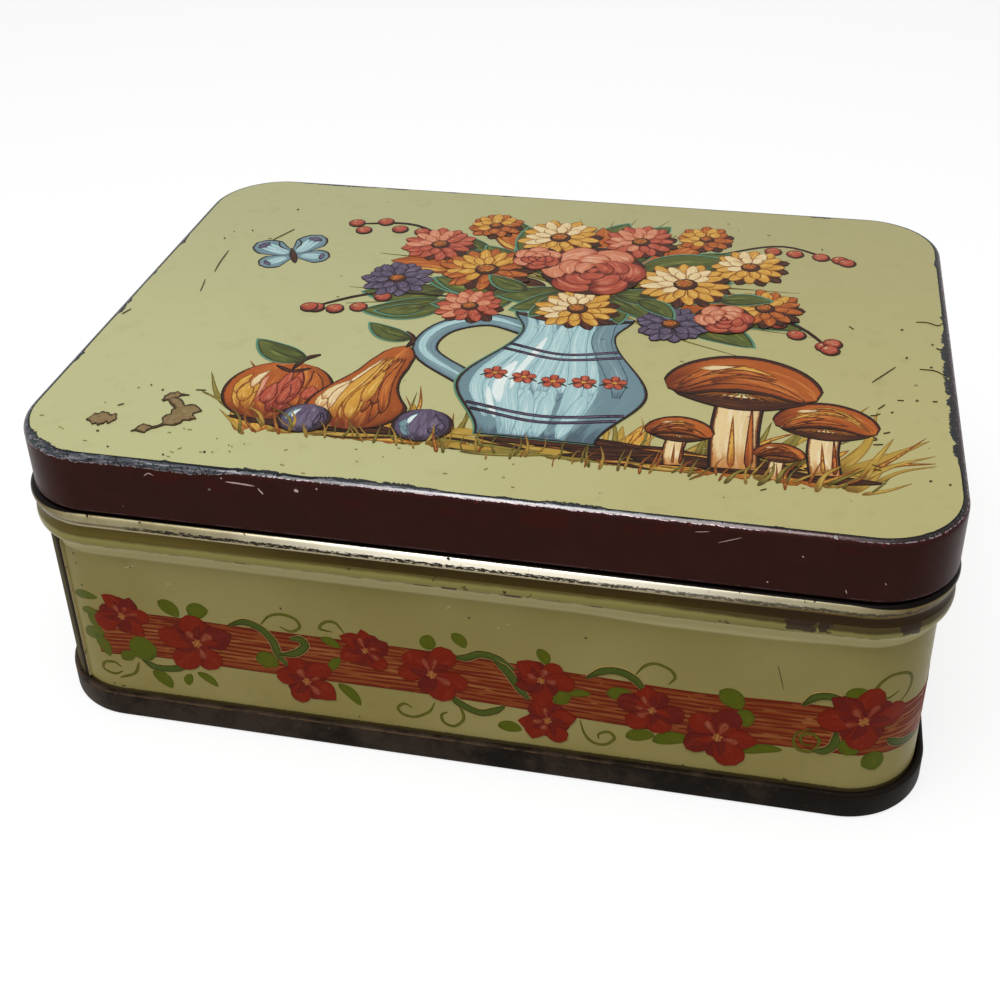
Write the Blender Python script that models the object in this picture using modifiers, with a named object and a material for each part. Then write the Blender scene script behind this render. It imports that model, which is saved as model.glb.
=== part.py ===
"""Small rectangular keepsake tin with a lift-off slip lid, in tinplate.

Three formed sheets make the box: a drawn lid, a wall strip closed by a lock seam at one corner,
and a stamped bottom end rolled on to the wall in a double seam. Each sheet is drawn as the line
of its outer face in section, as (reach, height) pairs. Reach is how far a point lies outside the
lid's outline, negative inwards. The line is swept round that outline and then given the sheet's
thickness. Lengths are in metres, +Z is up, the long sides face -Y and +Y, and the origin is on the
floor under the middle of the box.
"""
import math

import bmesh
import bpy

# Tinplate
SHEET = 0.00025
HEM_GAP = 0.0001
SEAM_GAP = 0.00015
SEAT_GAP = 0.0003

# The lid's outline, and heights above the floor
LID_LENGTH = 0.130
LID_WIDTH = 0.094
LID_CORNER_RADIUS = 0.0121
TIN_HEIGHT = 0.048

# Lid
LID_HEIGHT = 0.0095
LID_EDGE_RADIUS = 0.0010
LID_HEM_HEIGHT = 0.0022
LID_PLAY = 0.0006
LID_REST_SHIFT_SHARE = 0.5

# Neck and shoulder of the wall
NECK_HEADROOM = 0.0012
NECK_HEM_HEIGHT = 0.0024
LEDGE_FILLET = 0.0006
BEAD_PROUD = 0.00175
BEAD_RADIUS = 0.00085
BEAD_END_ANGLE = -50.0
SHOULDER_HEIGHT = 0.0073
RIB_PROUD = 0.00155

# Share of the shoulder's height below the ledge, and share of the rib's reach, down the rib
RIB_SHARES = (
    (0.27, 0.84), (0.36, 0.79), (0.45, 0.85), (0.53, 0.96), (0.62, 1.00), (0.70, 0.97),
    (0.77, 0.87), (0.84, 0.62), (0.89, 0.36), (0.945, 0.12), (1.00, 0.00),
)

# Lock seam of the wall, at the front left corner
LOCK_SEAM_WIDTH = 0.005
LOCK_SEAM_LAYERS = 2
LOCK_SEAM_ANGLE = 223.5
LOCK_SEAM_BITE_SHARE = 0.6

# Double seam and bottom end
SEAM_HEIGHT = 0.00435
SEAM_FOOT_RADIUS = 0.0005
COUNTERSINK = 0.0034
COUNTERSINK_RADIUS = 0.0004
PANEL_MARGIN = 0.0055
PANEL_STEP = 0.0006

# Facets: steps in a quarter turn of the outline, in a tight bend and in a smoothed span
CORNER_STEPS = 8
BEND_STEPS = 4
SPAN_STEPS = 2

# Sizes that follow from those above
HEM_THICKNESS = 2 * SHEET + HEM_GAP
NECK_REACH = -HEM_THICKNESS - LID_PLAY
LID_FOOT = TIN_HEIGHT - LID_HEIGHT
LEDGE_LEVEL = LID_FOOT - SEAT_GAP
WALL_TOP = LEDGE_LEVEL - SHOULDER_HEIGHT
NECK_TOP = TIN_HEIGHT - SHEET - NECK_HEADROOM
LID_REST_SHIFT = LID_PLAY * LID_REST_SHIFT_SHARE
FOLD_RADIUS = (SHEET + 2 * SEAM_GAP) / 2
HOOK_PITCH = SHEET + SEAM_GAP
RIM_REACH = NECK_REACH + 3 * HOOK_PITCH
CHUCK_REACH = NECK_REACH - SHEET - HOOK_PITCH


def clear_scene():
    """Removes every object, so that the model starts from nothing."""
    for item in list(bpy.data.objects):
        bpy.data.objects.remove(item, do_unlink=True)


def new_collection(name):
    """Makes a collection under the scene's own."""
    group = bpy.data.collections.new(name)
    bpy.context.scene.collection.children.link(group)
    return group


def painted(name, colour, metallic, roughness):
    """A Principled material."""
    material = bpy.data.materials.new(name)
    material.use_nodes = True
    shader = material.node_tree.nodes["Principled BSDF"]
    shader.inputs["Base Color"].default_value = (*colour, 1.0)
    shader.inputs["Metallic"].default_value = metallic
    shader.inputs["Roughness"].default_value = roughness
    return material


def arc(centre, radius, start, stop, steps=BEND_STEPS):
    """Points on a circle round centre, from one angle to another, in degrees."""
    points = []
    for step in range(steps + 1):
        angle = math.radians(start + (stop - start) * step / steps)
        points.append((centre[0] + radius * math.cos(angle), centre[1] + radius * math.sin(angle)))
    return points


def smoothed(points, steps=SPAN_STEPS):
    """A Catmull-Rom line through the points, without its first and last span."""
    line = []
    for before, start, stop, after in zip(points, points[1:], points[2:], points[3:]):
        for step in range(steps):
            t = step / steps
            line.append(tuple(
                0.5 * (2 * b + (c - a) * t + (2 * a - 5 * b + 4 * c - d) * t * t
                       + (3 * b - a - 3 * c + d) * t ** 3)
                for a, b, c, d in zip(before, start, stop, after)))
    return line + [points[-2]]


def outline_points():
    """The lid's outline seen from above, counter-clockwise."""
    across = LID_LENGTH / 2 - LID_CORNER_RADIUS
    deep = LID_WIDTH / 2 - LID_CORNER_RADIUS
    points = []
    for side, depth, start in ((1, -1, -90), (1, 1, 0), (-1, 1, 90), (-1, -1, 180)):
        centre = (side * across, depth * deep)
        points += arc(centre, LID_CORNER_RADIUS, start, start + 90, CORNER_STEPS)
    return points


def poly_curve(name, points, closed, dimensions):
    """A curve object with straight spans through the points."""
    curve = bpy.data.curves.new(name, "CURVE")
    curve.dimensions = dimensions
    spline = curve.splines.new("POLY")
    spline.points.add(len(points) - 1)
    for target, (x, y) in zip(spline.points, points):
        target.co = (x, y, 0.0, 1.0)
    spline.use_cyclic_u = closed
    item = bpy.data.objects.new(name, curve)
    bpy.context.scene.collection.objects.link(item)
    return item


def curve_to_mesh(item, name):
    """The evaluated curve as a mesh with its caps welded; the curve is removed."""
    graph = bpy.context.evaluated_depsgraph_get()
    mesh = bpy.data.meshes.new_from_object(item.evaluated_get(graph))
    mesh.name = name
    work = bmesh.new()
    work.from_mesh(mesh)
    bmesh.ops.remove_doubles(work, verts=work.verts, dist=SHEET / 100)
    work.to_mesh(mesh)
    work.free()
    mesh.transform(item.matrix_world)
    bpy.data.objects.remove(item, do_unlink=True)
    return mesh


def formed_sheet(name, section, with_panel):
    """Sweeps a section round the outline and gives it the sheet's thickness.

    section is the outer face, from the panel or the neck down to the foot. with_panel closes the
    ring of its first point with a flat panel.
    """
    rail = poly_curve(name + "_rail", outline_points(), True, "3D")
    profile = poly_curve(name + "_section", section, False, "2D")
    rail.data.bevel_mode = "OBJECT"
    rail.data.bevel_object = profile
    mesh = curve_to_mesh(rail, name)
    bpy.data.objects.remove(profile, do_unlink=True)
    if with_panel:
        close_panel(mesh, section[0])
    sheet = bpy.data.objects.new(name, mesh)
    thick = sheet.modifiers.new("Thickness", "SOLIDIFY")
    thick.thickness = SHEET
    thick.offset = -1.0
    thick.use_even_offset = True
    return sheet


def close_panel(mesh, edge):
    """Fills the ring that the section's first point makes."""
    work = bmesh.new()
    work.from_mesh(mesh)
    reach = LID_LENGTH / 2 + edge[0]
    ring = [e for e in work.edges if e.is_boundary
            and all(abs(v.co.z - edge[1]) < SHEET / 100 and abs(v.co.x) < reach + SHEET
                    for v in e.verts)]
    made = bmesh.ops.contextual_create(work, geom=ring)
    bmesh.ops.recalc_face_normals(work, faces=work.faces)
    for face in made["faces"]:
        face.smooth = False
    work.to_mesh(mesh)
    work.free()


def finish(item, collection, material):
    """Puts a piece in its collection, with its material and smooth bends."""
    item.data.materials.clear()
    item.data.materials.append(material)
    item.data.shade_smooth()
    item.data.set_sharp_from_angle(angle=math.radians(30))
    collection.objects.link(item)
    return item


def lid_section():
    """Outer face of the lid: panel edge, rolled edge, skirt and the hem turned in at its foot."""
    rolled = arc((-LID_EDGE_RADIUS, TIN_HEIGHT - LID_EDGE_RADIUS), LID_EDGE_RADIUS, 90, 0)
    fold = HEM_THICKNESS / 2
    hem = arc((-fold, LID_FOOT + fold), fold, 0, -180)
    return rolled + hem + [(-HEM_THICKNESS, LID_FOOT + LID_HEM_HEIGHT)]


def wall_section():
    """Outer face of the wall strip: neck with its hem, ledge, bead, rib, wall and body hook."""
    fold = HEM_THICKNESS / 2
    neck_fold = arc((NECK_REACH - fold, NECK_TOP - fold), fold, 180, 0)
    neck = [(NECK_REACH - HEM_THICKNESS, NECK_TOP - NECK_HEM_HEIGHT)] + neck_fold

    ledge_centre = (NECK_REACH + LEDGE_FILLET, LEDGE_LEVEL + LEDGE_FILLET)
    ledge = arc(ledge_centre, LEDGE_FILLET, 180, 270)
    bead_centre = (NECK_REACH + BEAD_PROUD - BEAD_RADIUS, LEDGE_LEVEL - BEAD_RADIUS)
    bead = arc(bead_centre, BEAD_RADIUS, 90, BEAD_END_ANGLE, 2 * BEND_STEPS)

    rib = [(NECK_REACH + out * RIB_PROUD, LEDGE_LEVEL - down * SHOULDER_HEIGHT)
           for down, out in RIB_SHARES]
    below = (NECK_REACH, WALL_TOP - BEAD_RADIUS)
    shoulder = smoothed([bead[-2], bead[-1]] + rib + [below])

    hook_level = 2 * SHEET + SEAM_GAP + FOLD_RADIUS
    hook_top = SEAM_HEIGHT - SHEET - FOLD_RADIUS - SEAM_GAP
    hook = arc((NECK_REACH + FOLD_RADIUS, hook_level), FOLD_RADIUS, 180, 360)
    hook.append((NECK_REACH + 2 * FOLD_RADIUS, hook_top))
    return neck + ledge + bead[:-1] + shoulder + hook


def end_section():
    """Outer face of the bottom end: panel, countersink, foot of the seam and cover hook."""
    chuck = CHUCK_REACH
    step_out = chuck - COUNTERSINK_RADIUS - PANEL_MARGIN
    step_in = step_out - PANEL_STEP
    panel = [(step_in, COUNTERSINK - PANEL_STEP), (step_out, COUNTERSINK)]
    sink_centre = (chuck - COUNTERSINK_RADIUS, COUNTERSINK - COUNTERSINK_RADIUS)
    sink = arc(sink_centre, COUNTERSINK_RADIUS, 90, 0)
    foot_in = arc((chuck + SEAM_FOOT_RADIUS, SEAM_FOOT_RADIUS), SEAM_FOOT_RADIUS, 180, 270)
    foot_out = arc((RIM_REACH - SEAM_FOOT_RADIUS, SEAM_FOOT_RADIUS), SEAM_FOOT_RADIUS, 270, 360)
    roll = FOLD_RADIUS + SHEET
    cover = arc((RIM_REACH - roll, SEAM_HEIGHT - roll), roll, 0, 180)
    tip = 2 * SHEET + 2 * SEAM_GAP + FOLD_RADIUS
    return panel + sink + foot_in + foot_out + cover + [(RIM_REACH - 2 * roll, tip)]


def lock_seam(guides):
    """The folded layers of the lock seam: a band on the corner from the rim to the shoulder."""
    centre = (LID_CORNER_RADIUS - LID_LENGTH / 2, LID_CORNER_RADIUS - LID_WIDTH / 2)
    wall_radius = LID_CORNER_RADIUS + NECK_REACH
    half = math.degrees(LOCK_SEAM_WIDTH / wall_radius) / 2
    start, stop = LOCK_SEAM_ANGLE - half, LOCK_SEAM_ANGLE + half
    inner = wall_radius - SHEET * LOCK_SEAM_BITE_SHARE
    outer = wall_radius + SHEET * LOCK_SEAM_LAYERS
    outline = arc(centre, inner, start, stop) + arc(centre, outer, stop, start)
    low, high = SEAM_HEIGHT + SEAT_GAP, WALL_TOP
    band = poly_curve("lock_seam", outline, True, "2D")
    band.data.fill_mode = "BOTH"
    band.data.extrude = (high - low) / 2
    band.location.z = (high + low) / 2
    bpy.context.view_layer.update()
    seam = bpy.data.objects.new("lock_seam", curve_to_mesh(band, "lock_seam"))
    seam.hide_render = True
    seam.display_type = "WIRE"
    guides.objects.link(seam)
    return seam


def build():
    """Builds the three sheets of the tin."""
    clear_scene()
    pieces = new_collection("tin_box")
    guides = new_collection("tin_box_guides")

    lid = formed_sheet("lid", lid_section(), True)
    lid.location.x = LID_REST_SHIFT
    finish(lid, pieces, painted("lid_print", (0.50, 0.46, 0.23), 0.0, 0.35))

    wall = formed_sheet("body_wall", wall_section(), False)
    joined = wall.modifiers.new("Lock seam", "BOOLEAN")
    joined.operation = "UNION"
    joined.solver = "EXACT"
    joined.object = lock_seam(guides)
    finish(wall, pieces, painted("wall_print", (0.46, 0.41, 0.19), 0.0, 0.35))

    end = formed_sheet("bottom_end", end_section(), True)
    finish(end, pieces, painted("bare_tinplate", (0.10, 0.095, 0.085), 1.0, 0.45))


build()
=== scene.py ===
"""Looks of a small slip-lid keepsake tin in printed tinplate.

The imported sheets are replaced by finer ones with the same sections. The prints on them are thin
flakes of ink, each drawn as a stroke: a spine with a width along it. Sizes are in millimetres, in
the frame's own axes, and MM turns them into metres. On the wall a place is (along, height), where
along runs round the outline from the middle of the front, to the right.
"""
from __future__ import annotations

import logging
import math
import random
from dataclasses import dataclass, field
from enum import Enum
from functools import cached_property
from typing import Callable, Iterable, Sequence, Union

import bpy
import numpy as np
from mathutils import Matrix, Vector


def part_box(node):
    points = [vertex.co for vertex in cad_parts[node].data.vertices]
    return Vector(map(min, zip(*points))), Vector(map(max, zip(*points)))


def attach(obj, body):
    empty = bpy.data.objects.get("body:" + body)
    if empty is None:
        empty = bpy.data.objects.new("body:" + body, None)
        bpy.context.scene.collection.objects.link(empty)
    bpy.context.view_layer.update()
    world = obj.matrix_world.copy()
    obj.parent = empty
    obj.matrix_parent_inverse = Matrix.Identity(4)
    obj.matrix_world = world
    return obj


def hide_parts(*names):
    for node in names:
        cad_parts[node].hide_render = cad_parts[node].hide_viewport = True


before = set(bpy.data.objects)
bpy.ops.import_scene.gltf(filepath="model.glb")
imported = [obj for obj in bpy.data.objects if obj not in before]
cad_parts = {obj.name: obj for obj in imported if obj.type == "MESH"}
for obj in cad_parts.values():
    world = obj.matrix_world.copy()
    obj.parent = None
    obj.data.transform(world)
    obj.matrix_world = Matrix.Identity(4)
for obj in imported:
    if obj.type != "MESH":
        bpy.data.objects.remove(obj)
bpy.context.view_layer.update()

LOG = logging.getLogger("keepsake_tin")
MM = 0.001

Place = tuple[float, float]
Colour = tuple[float, float, float]
Shape = Callable[[float], float]
Surface = Callable[[float, float, float], Vector]
Outputs = Sequence[bpy.types.NodeSocket]
Value = Union["Wire", bpy.types.NodeSocket, float, Sequence[float]]


def screen(red: int, green: int, blue: int) -> Colour:
    """Turns a colour as a screen shows it, 0 to 255, into the scene's linear values."""
    shares = (value / 255 for value in (red, green, blue))
    return tuple(s / 12.92 if s <= 0.04045 else ((s + 0.055) / 1.055) ** 2.4 for s in shares)


class Body(Enum):
    """The two bodies of the frame that pieces ride on."""

    TIN = "tin"
    LID = "lid"


class Slot(Enum):
    """The record's material slots."""

    LID = "lid_print"
    WALL = "wall_print"
    END = "bare_tinplate"


# Materials


@dataclass(frozen=True)
class Wire:
    """An output of a node. Sums and products with it are Math nodes."""

    graph: Graph
    socket: bpy.types.NodeSocket

    def __add__(self, other: Value) -> Wire:
        """The sum."""
        return self.graph.math("ADD", self, other)

    def __radd__(self, other: Value) -> Wire:
        """The sum with a number in front."""
        return self.graph.math("ADD", other, self)

    def __sub__(self, other: Value) -> Wire:
        """The difference."""
        return self.graph.math("SUBTRACT", self, other)

    def __rsub__(self, other: Value) -> Wire:
        """The difference from a number."""
        return self.graph.math("SUBTRACT", other, self)

    def __mul__(self, other: Value) -> Wire:
        """The product."""
        return self.graph.math("MULTIPLY", self, other)


class Graph:
    """The node tree of a material or of the world."""

    def __init__(self, name: str, world: bool = False) -> None:
        """Starts a Principled material, or a world.

        Args:
            name: Its name.
            world: Whether it is a world.
        """
        self.material = (bpy.data.worlds if world else bpy.data.materials).new(name)
        self.material.use_nodes = True
        self.tree = self.material.node_tree
        self.shader = self.tree.nodes["Background" if world else "Principled BSDF"]

    def put(self, value: Value, socket: bpy.types.NodeSocket) -> None:
        """Links an output to a socket, or sets a fixed value on it."""
        if isinstance(value, Wire):
            value = value.socket
        if isinstance(value, bpy.types.NodeSocket):
            self.tree.links.new(value, socket)
        elif isinstance(socket.default_value, float):
            socket.default_value = value
        else:
            socket.default_value = (*value, 1.0)[:len(socket.default_value)]

    def set(self, **sockets: Value) -> None:
        """Sets the shader's sockets, named with underscores for spaces."""
        for name, value in sockets.items():
            self.put(value, self.shader.inputs[name.replace("_", " ")])

    def node(self, kind: str, inputs: dict[Union[int, str], Value], **settings: str) -> Outputs:
        """Adds a node.

        Args:
            kind: Its type, without the words that all types start with.
            inputs: What goes into its inputs.
            settings: Its settings.

        Returns:
            Its outputs.
        """
        node = self.tree.nodes.new("ShaderNode" + kind)
        for name, value in settings.items():
            setattr(node, name, value)
        for name, value in inputs.items():
            self.put(value, node.inputs[name])
        return node.outputs

    def math(self, operation: str, *values: Value) -> Wire:
        """A Math node."""
        return Wire(self, self.node("Math", dict(enumerate(values)), operation=operation)[0])

    def most(self, first: Value, second: Value) -> Wire:
        """The greater of two values."""
        return self.math("MAXIMUM", first, second)

    def step(self, value: Value, start: float, end: float) -> Wire:
        """A smooth step from 0 at start to 1 at end; start may be the larger."""
        span = (value, min(start, end), max(start, end), float(start > end), float(start < end))
        node = self.node("MapRange", dict(enumerate(span)), interpolation_type="SMOOTHSTEP")
        return Wire(self, node[0])

    def window(self, value: Value, low: float, high: float, soft: float) -> Wire:
        """1 between low and high, 0 outside, with soft edges."""
        return self.step(value, low - soft, low + soft) * self.step(value, high + soft, high - soft)

    def mix(self, share: Value, low: Value, high: Value) -> Wire:
        """Mixes two colours by a share."""
        return Wire(self, self.node("Mix", {0: share, 6: low, 7: high}, data_type="RGBA")[2])

    def coats(self, under: Value, *coats: tuple[Value, Value]) -> Wire:
        """Colours laid over one another, each given as the share that it covers and the colour."""
        for share, colour in coats:
            under = self.mix(share, under, colour)
        return under

    def place(self) -> Wire:
        """The point on the object, in millimetres."""
        return self.scaled(self.node("TexCoord", {})["Object"], (1 / MM, 1 / MM, 1 / MM))

    def scaled(self, vector: Value, scale: Sequence[float]) -> Wire:
        """Multiplies a vector by a scale along each axis."""
        return Wire(self, self.node("VectorMath", {0: vector, 1: scale}, operation="MULTIPLY")[0])

    def parts(self, vector: Value) -> tuple[Wire, ...]:
        """The three parts of a vector."""
        return tuple(Wire(self, part) for part in self.node("SeparateXYZ", {0: vector}))

    def attribute(self, name: str) -> tuple[Wire, ...]:
        """The three parts of an attribute of the mesh."""
        return self.parts(self.node("Attribute", {}, attribute_name=name)["Vector"])

    def noise(self, vector: Value, scale: float, detail: float = 3.0, roughness: float = 0.55) -> Wire:
        """Fractal noise, about 0.5 in the middle; scale is in cells for each unit of the vector."""
        inputs = {"Vector": vector, "Scale": scale, "Detail": detail, "Roughness": roughness}
        return Wire(self, self.node("TexNoise", inputs)[0])

    def specks(self, vector: Value, scale: float, share: float, radius: float) -> Wire:
        """Scattered dots.

        Args:
            vector: Where, in millimetres.
            scale: Cells in a millimetre.
            share: Share of the cells that hold a dot.
            radius: A dot's radius, as a share of its cell.

        Returns:
            1 on a dot and 0 elsewhere.
        """
        cells = self.node("TexVoronoi", {"Vector": vector, "Scale": scale})
        red, green, _ = self.parts(cells["Color"])
        near = self.math("LESS_THAN", cells["Distance"], green * radius)
        return self.math("LESS_THAN", red, share) * near

    def bump(self, height: Value, depth: float) -> None:
        """Bumps the surface by a height from 0 to 1, depth millimetres deep."""
        self.set(Normal=self.node("Bump", {"Strength": 1.0, "Distance": depth * MM, "Height": height})[0])

    def seen(self, strength: float) -> Wire:
        """A strength that only rays from the camera, a gloss or a glass see."""
        ray = self.node("LightPath", {})
        seen = self.most(ray["Is Camera Ray"], ray["Is Glossy Ray"])
        return self.most(seen, ray["Is Transmission Ray"]) * strength


@dataclass(frozen=True)
class Ink:
    """A printed ink, shaded along and across each stroke as a painter's brush would.

    Attributes:
        name: The material's name.
        body: The stroke's main colour.
        light: Colour of its light streaks.
        edge: Colour along its two edges.
        root: Colour where the stroke starts.
        outline: Width of the edge colour, in millimetres.
        streaks: How much of the stroke the light streaks take, 0 to 1.
        lines: Number of streaks across the stroke.
        rooted: Share of the length that the root colour takes.
        form: How much darker one side is than the other, 0 to 1.
        vein: Half width of a dark line along the middle, as a share of the half width.
        run: Cells of the streaks along the stroke.
    """

    name: str
    body: tuple[int, int, int]
    light: tuple[int, int, int]
    edge: tuple[int, int, int]
    root: tuple[int, int, int]
    outline: float = 0.25
    streaks: float = 0.5
    lines: float = 4.0
    rooted: float = 0.3
    form: float = 0.0
    vein: float = 0.0
    run: float = 1.6

    def material(self) -> bpy.types.Material:
        """Builds the ink's material, or finds it if it was built before."""
        known = bpy.data.materials.get(self.name)
        if known:
            return known
        graph = Graph(self.name)
        body, light, edge, root = (screen(*c) for c in (self.body, self.light, self.edge, self.root))
        along, across, seed = graph.attribute("stroke")
        half, _, _ = graph.attribute("half")
        spread = {0: along * self.run, 1: across * self.lines, 2: seed * 37.0}
        brush = graph.noise(graph.node("CombineXYZ", spread)[0], 1.7, 4.0, 0.6)
        grain = graph.noise(graph.place(), 3.0, 2.0)
        wander = graph.noise(graph.place(), 1.4, 3.0) - 0.5
        side = graph.math("ABSOLUTE", across * 2.0 - 1.0)
        depth = (1.0 - side) * half
        ragged = depth + wander * (self.outline * 2.2)
        rim = graph.step(ragged, self.outline * 1.15, self.outline * 0.7)
        lit = graph.step(brush, 0.62 - 0.3 * self.streaks, 0.72) * graph.step(side, 0.95, 0.35)
        base = along + (brush - 0.5) * 0.5
        dim = graph.step(across + (brush - 0.5) * 0.5, 0.5, 0.05) * self.form
        colour = graph.coats(body, (lit * 0.85, light), (dim, edge))
        if self.vein:
            middle = graph.step(side, self.vein * 1.3, self.vein * 0.6) * graph.step(base, 0.92, 0.45)
            colour = graph.mix(middle * 0.75, colour, edge)
        if self.rooted:
            colour = graph.mix(graph.step(base, self.rooted, 0.0), colour, root)
        colour = graph.mix(rim * 0.9, colour, edge)
        dull = graph.step(grain, 0.45, 0.7) * 0.12
        graph.set(Base_Color=graph.mix(dull, colour, edge), Roughness=0.34, Specular_IOR_Level=0.06)
        return graph.material


@dataclass(frozen=True)
class EdgeWear:
    """Wear along the lid's rolled edge, and a painted highlight along it, the same on the three finishes
    that meet there.

    The path is the distance along the section, in millimetres, from where the top starts to roll.

    Attributes:
        foot: Path where the bare steel ends on the left.
        rise: How much sooner it ends on the right.
        left: Span along X where the wide wear of the left gives way to the narrow one.
        painted: Place along X where the paint starts to cover the edge.
        dark_span: Span along X where the dark line under the top is broad.
        notches: Stretches where the wear runs into the top: side, start and end along that side.
    """

    foot: float = 1.45
    rise: float = 0.66
    left: Place = (-36.0, -27.0)
    painted: float = 34.0
    dark_span: Place = (-37.0, -13.0)
    notches: tuple[tuple[str, float, float], ...] = (("front", -17.0, -3.0), ("right", -27.0, 6.0))

    def layers(self, graph: Graph) -> dict[str, Wire]:
        """Works out where each layer of the worn edge shows, with the painted highlight.

        Args:
            graph: The material's graph.

        Returns:
            The share of each layer, with the point, its parts and the noises that others use.
        """
        point = graph.place()
        x, y, height = graph.parts(point)
        path, _, _ = graph.attribute("sheet")
        broad = graph.noise(point, 0.11, 2.0)
        patchy = graph.noise(point, 0.5, 3.0)
        fine = graph.noise(point, 2.4, 4.0, 0.6)
        rough = fine - 0.5
        right = graph.step(x, *self.left)
        swing = 1.3 - right * 0.9
        foot = self.foot - right * self.rise
        foot = foot + (patchy - 0.5) * swing
        foot = foot + rough * (0.5 - right * 0.3)
        bitten = graph.step(broad, 0.54, 0.64) * 0.5
        for side, start, end in self.notches:
            run, across, edge = (x, y, (-44.0, -46.0)) if side == "front" else (y, x, (62.0, 64.0))
            bitten = graph.most(bitten, graph.window(run, start, end, 3.0) * graph.step(across, *edge))
        notch = bitten * graph.step(patchy, 0.30, 0.50)
        start = rough * 0.12 - notch * (0.85 + rough * 2.4)
        above = path - start
        below = path - foot
        printed = graph.step(above, 0.03, -0.03)
        worn = graph.step(above, -0.03, 0.03) * graph.step(below, 0.04, -0.04)
        corner = graph.step(x, 47.0, 56.0)
        cover = graph.step(x + (broad - 0.5) * 30.0, self.painted, self.painted + 12.0) * (1.0 - corner)
        rare = graph.most(1.0 - cover, graph.step(patchy, 0.62, 0.66))
        dark_foot = 0.20 + graph.step(broad, 0.4, 0.7) * 0.22
        dark_foot = dark_foot + graph.window(x, *self.dark_span, 5.0) * 0.20
        # The rubbed strip is partly worn steel and partly a painted highlight along the middle of the
        # roll.
        rubbed = (graph.window(path + rough * 0.25, 0.40, 0.70, 0.10)
                  * (graph.step(x + rough * 30.0, -38.0, -12.0)
                     * graph.step(x + rough * 14.0, 56.0, 44.0)))
        pale = graph.window(below, -0.09, 0.03, 0.03) * graph.step(fine, 0.46, 0.54)
        chips = (graph.window(below, 0.02, 0.45, 0.05)
                 * graph.step(graph.noise(point, 1.3, 3.0), 0.59, 0.64))
        return {
            "x": x, "height": height, "point": point, "fine": fine, "patchy": patchy, "corner": corner,
            "printed": printed, "bare": worn * rare, "pale": pale * rare, "chips": chips,
            "rubbed": rubbed * graph.step(above, 0.10, 0.22),
            "dark": graph.step(above, -0.02, 0.02) * graph.step(above - dark_foot, 0.06, -0.06),
        }


@dataclass(frozen=True)
class LidTop:
    """Cream enamel of the lid's top, greener at the left and warmer at the right, with painted shade that
    darkens it towards the back.

    Attributes:
        wear: The worn edge.
    """

    green: Colour = screen(188, 187, 136)
    warm: Colour = screen(182, 174, 118)
    # Painted shade that the top takes towards the back.
    dull: Colour = screen(140, 136, 96)
    dirt: Colour = screen(110, 98, 56)
    line: Colour = screen(26, 29, 30)
    wear: EdgeWear = EdgeWear()

    def material(self) -> bpy.types.Material:
        """Builds the material."""
        graph = Graph("lid_enamel")
        edge = self.wear.layers(graph)
        point = edge["point"]
        broad = graph.noise(point, 0.05, 2.0)
        patchy = graph.noise(point, 0.30, 4.0, 0.6)
        side = edge["x"] + (broad - 0.5) * 70.0
        _, y, _ = graph.parts(point)
        speck = graph.specks(point, 0.22, 0.40, 0.065)
        dash = graph.specks(graph.scaled(point, (0.45, 1.3, 1.0)), 0.20, 0.22, 0.07)
        # The dull colour over Y is painted shade, darker towards the back.
        top = graph.coats(self.green, (graph.step(side, -45.0, 55.0), self.warm),
                          (graph.step(y, -30.0, 46.0) * 0.3, self.dull),
                          (graph.step(patchy, 0.52, 0.85) * 0.16, self.dirt), (speck * 0.75, self.dirt),
                          (dash * 0.85, self.dirt))
        rough = 0.24 + patchy * 0.16
        graph.set(Base_Color=graph.mix(edge["printed"], self.line, top), Roughness=rough,
                  Specular_IOR_Level=0.16)
        graph.bump(graph.noise(point, 0.12, 1.0), 0.03)
        return graph.material


@dataclass(frozen=True)
class RolledEdge:
    """The lid's rolled edge: steel at the left, glossy brown paint at the right, and a painted highlight
    along the roll.

    Attributes:
        wear: The worn edge.
    """

    steel: Colour = screen(60, 64, 68)
    shine: Colour = screen(126, 124, 130)
    # Colours of the painted highlight along the roll, over worn steel.
    rubbed: Colour = screen(134, 131, 131)
    dim_highlight: Colour = screen(82, 81, 80)
    mauve_highlight: Colour = screen(95, 86, 84)
    line: Colour = screen(26, 29, 30)
    corner_dark: Colour = screen(52, 44, 42)
    brown: Colour = screen(56, 24, 20)
    red: Colour = screen(86, 34, 26)
    pale: Colour = screen(168, 150, 154)
    wear: EdgeWear = EdgeWear()

    def material(self) -> bpy.types.Material:
        """Builds the material."""
        graph = Graph("rolled_edge")
        edge = self.wear.layers(graph)
        point = edge["point"]
        drawn = graph.noise(graph.scaled(point, (0.35, 2.5, 2.5)), 1.2, 3.0)
        side = edge["corner"] * graph.step(edge["fine"], 0.62, 0.56)
        metal = graph.coats(self.steel, (graph.step(drawn, 0.46, 0.7), self.shine),
                            (graph.step(edge["fine"], 0.46, 0.36), self.line), (side, self.corner_dark))
        # Painted highlight: brightest in the middle of the front, dimmer further out and mauve towards the
        # right.
        middle = graph.step(edge["x"], -22.0, 0.0) * graph.step(edge["x"], 36.0, 8.0)
        outer = graph.mix(graph.step(edge["x"], 20.0, 38.0), self.dim_highlight, self.mauve_highlight)
        bright = graph.mix(middle, outer, self.rubbed)
        colour = graph.coats(self.brown, (edge["bare"], metal), (edge["rubbed"], bright),
                             (edge["chips"], self.red), (edge["pale"], self.pale),
                             (edge["dark"], self.line))
        bright = graph.most(edge["bare"], edge["rubbed"]) * (1.0 - edge["dark"])
        bright = bright * (0.75 - edge["corner"] * 0.6)
        graph.set(Base_Color=colour, Metallic=bright, Roughness=0.20 + edge["patchy"] * 0.14,
                  Specular_IOR_Level=0.07)
        graph.bump(edge["bare"] * -1.0, 0.015)
        return graph.material


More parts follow.
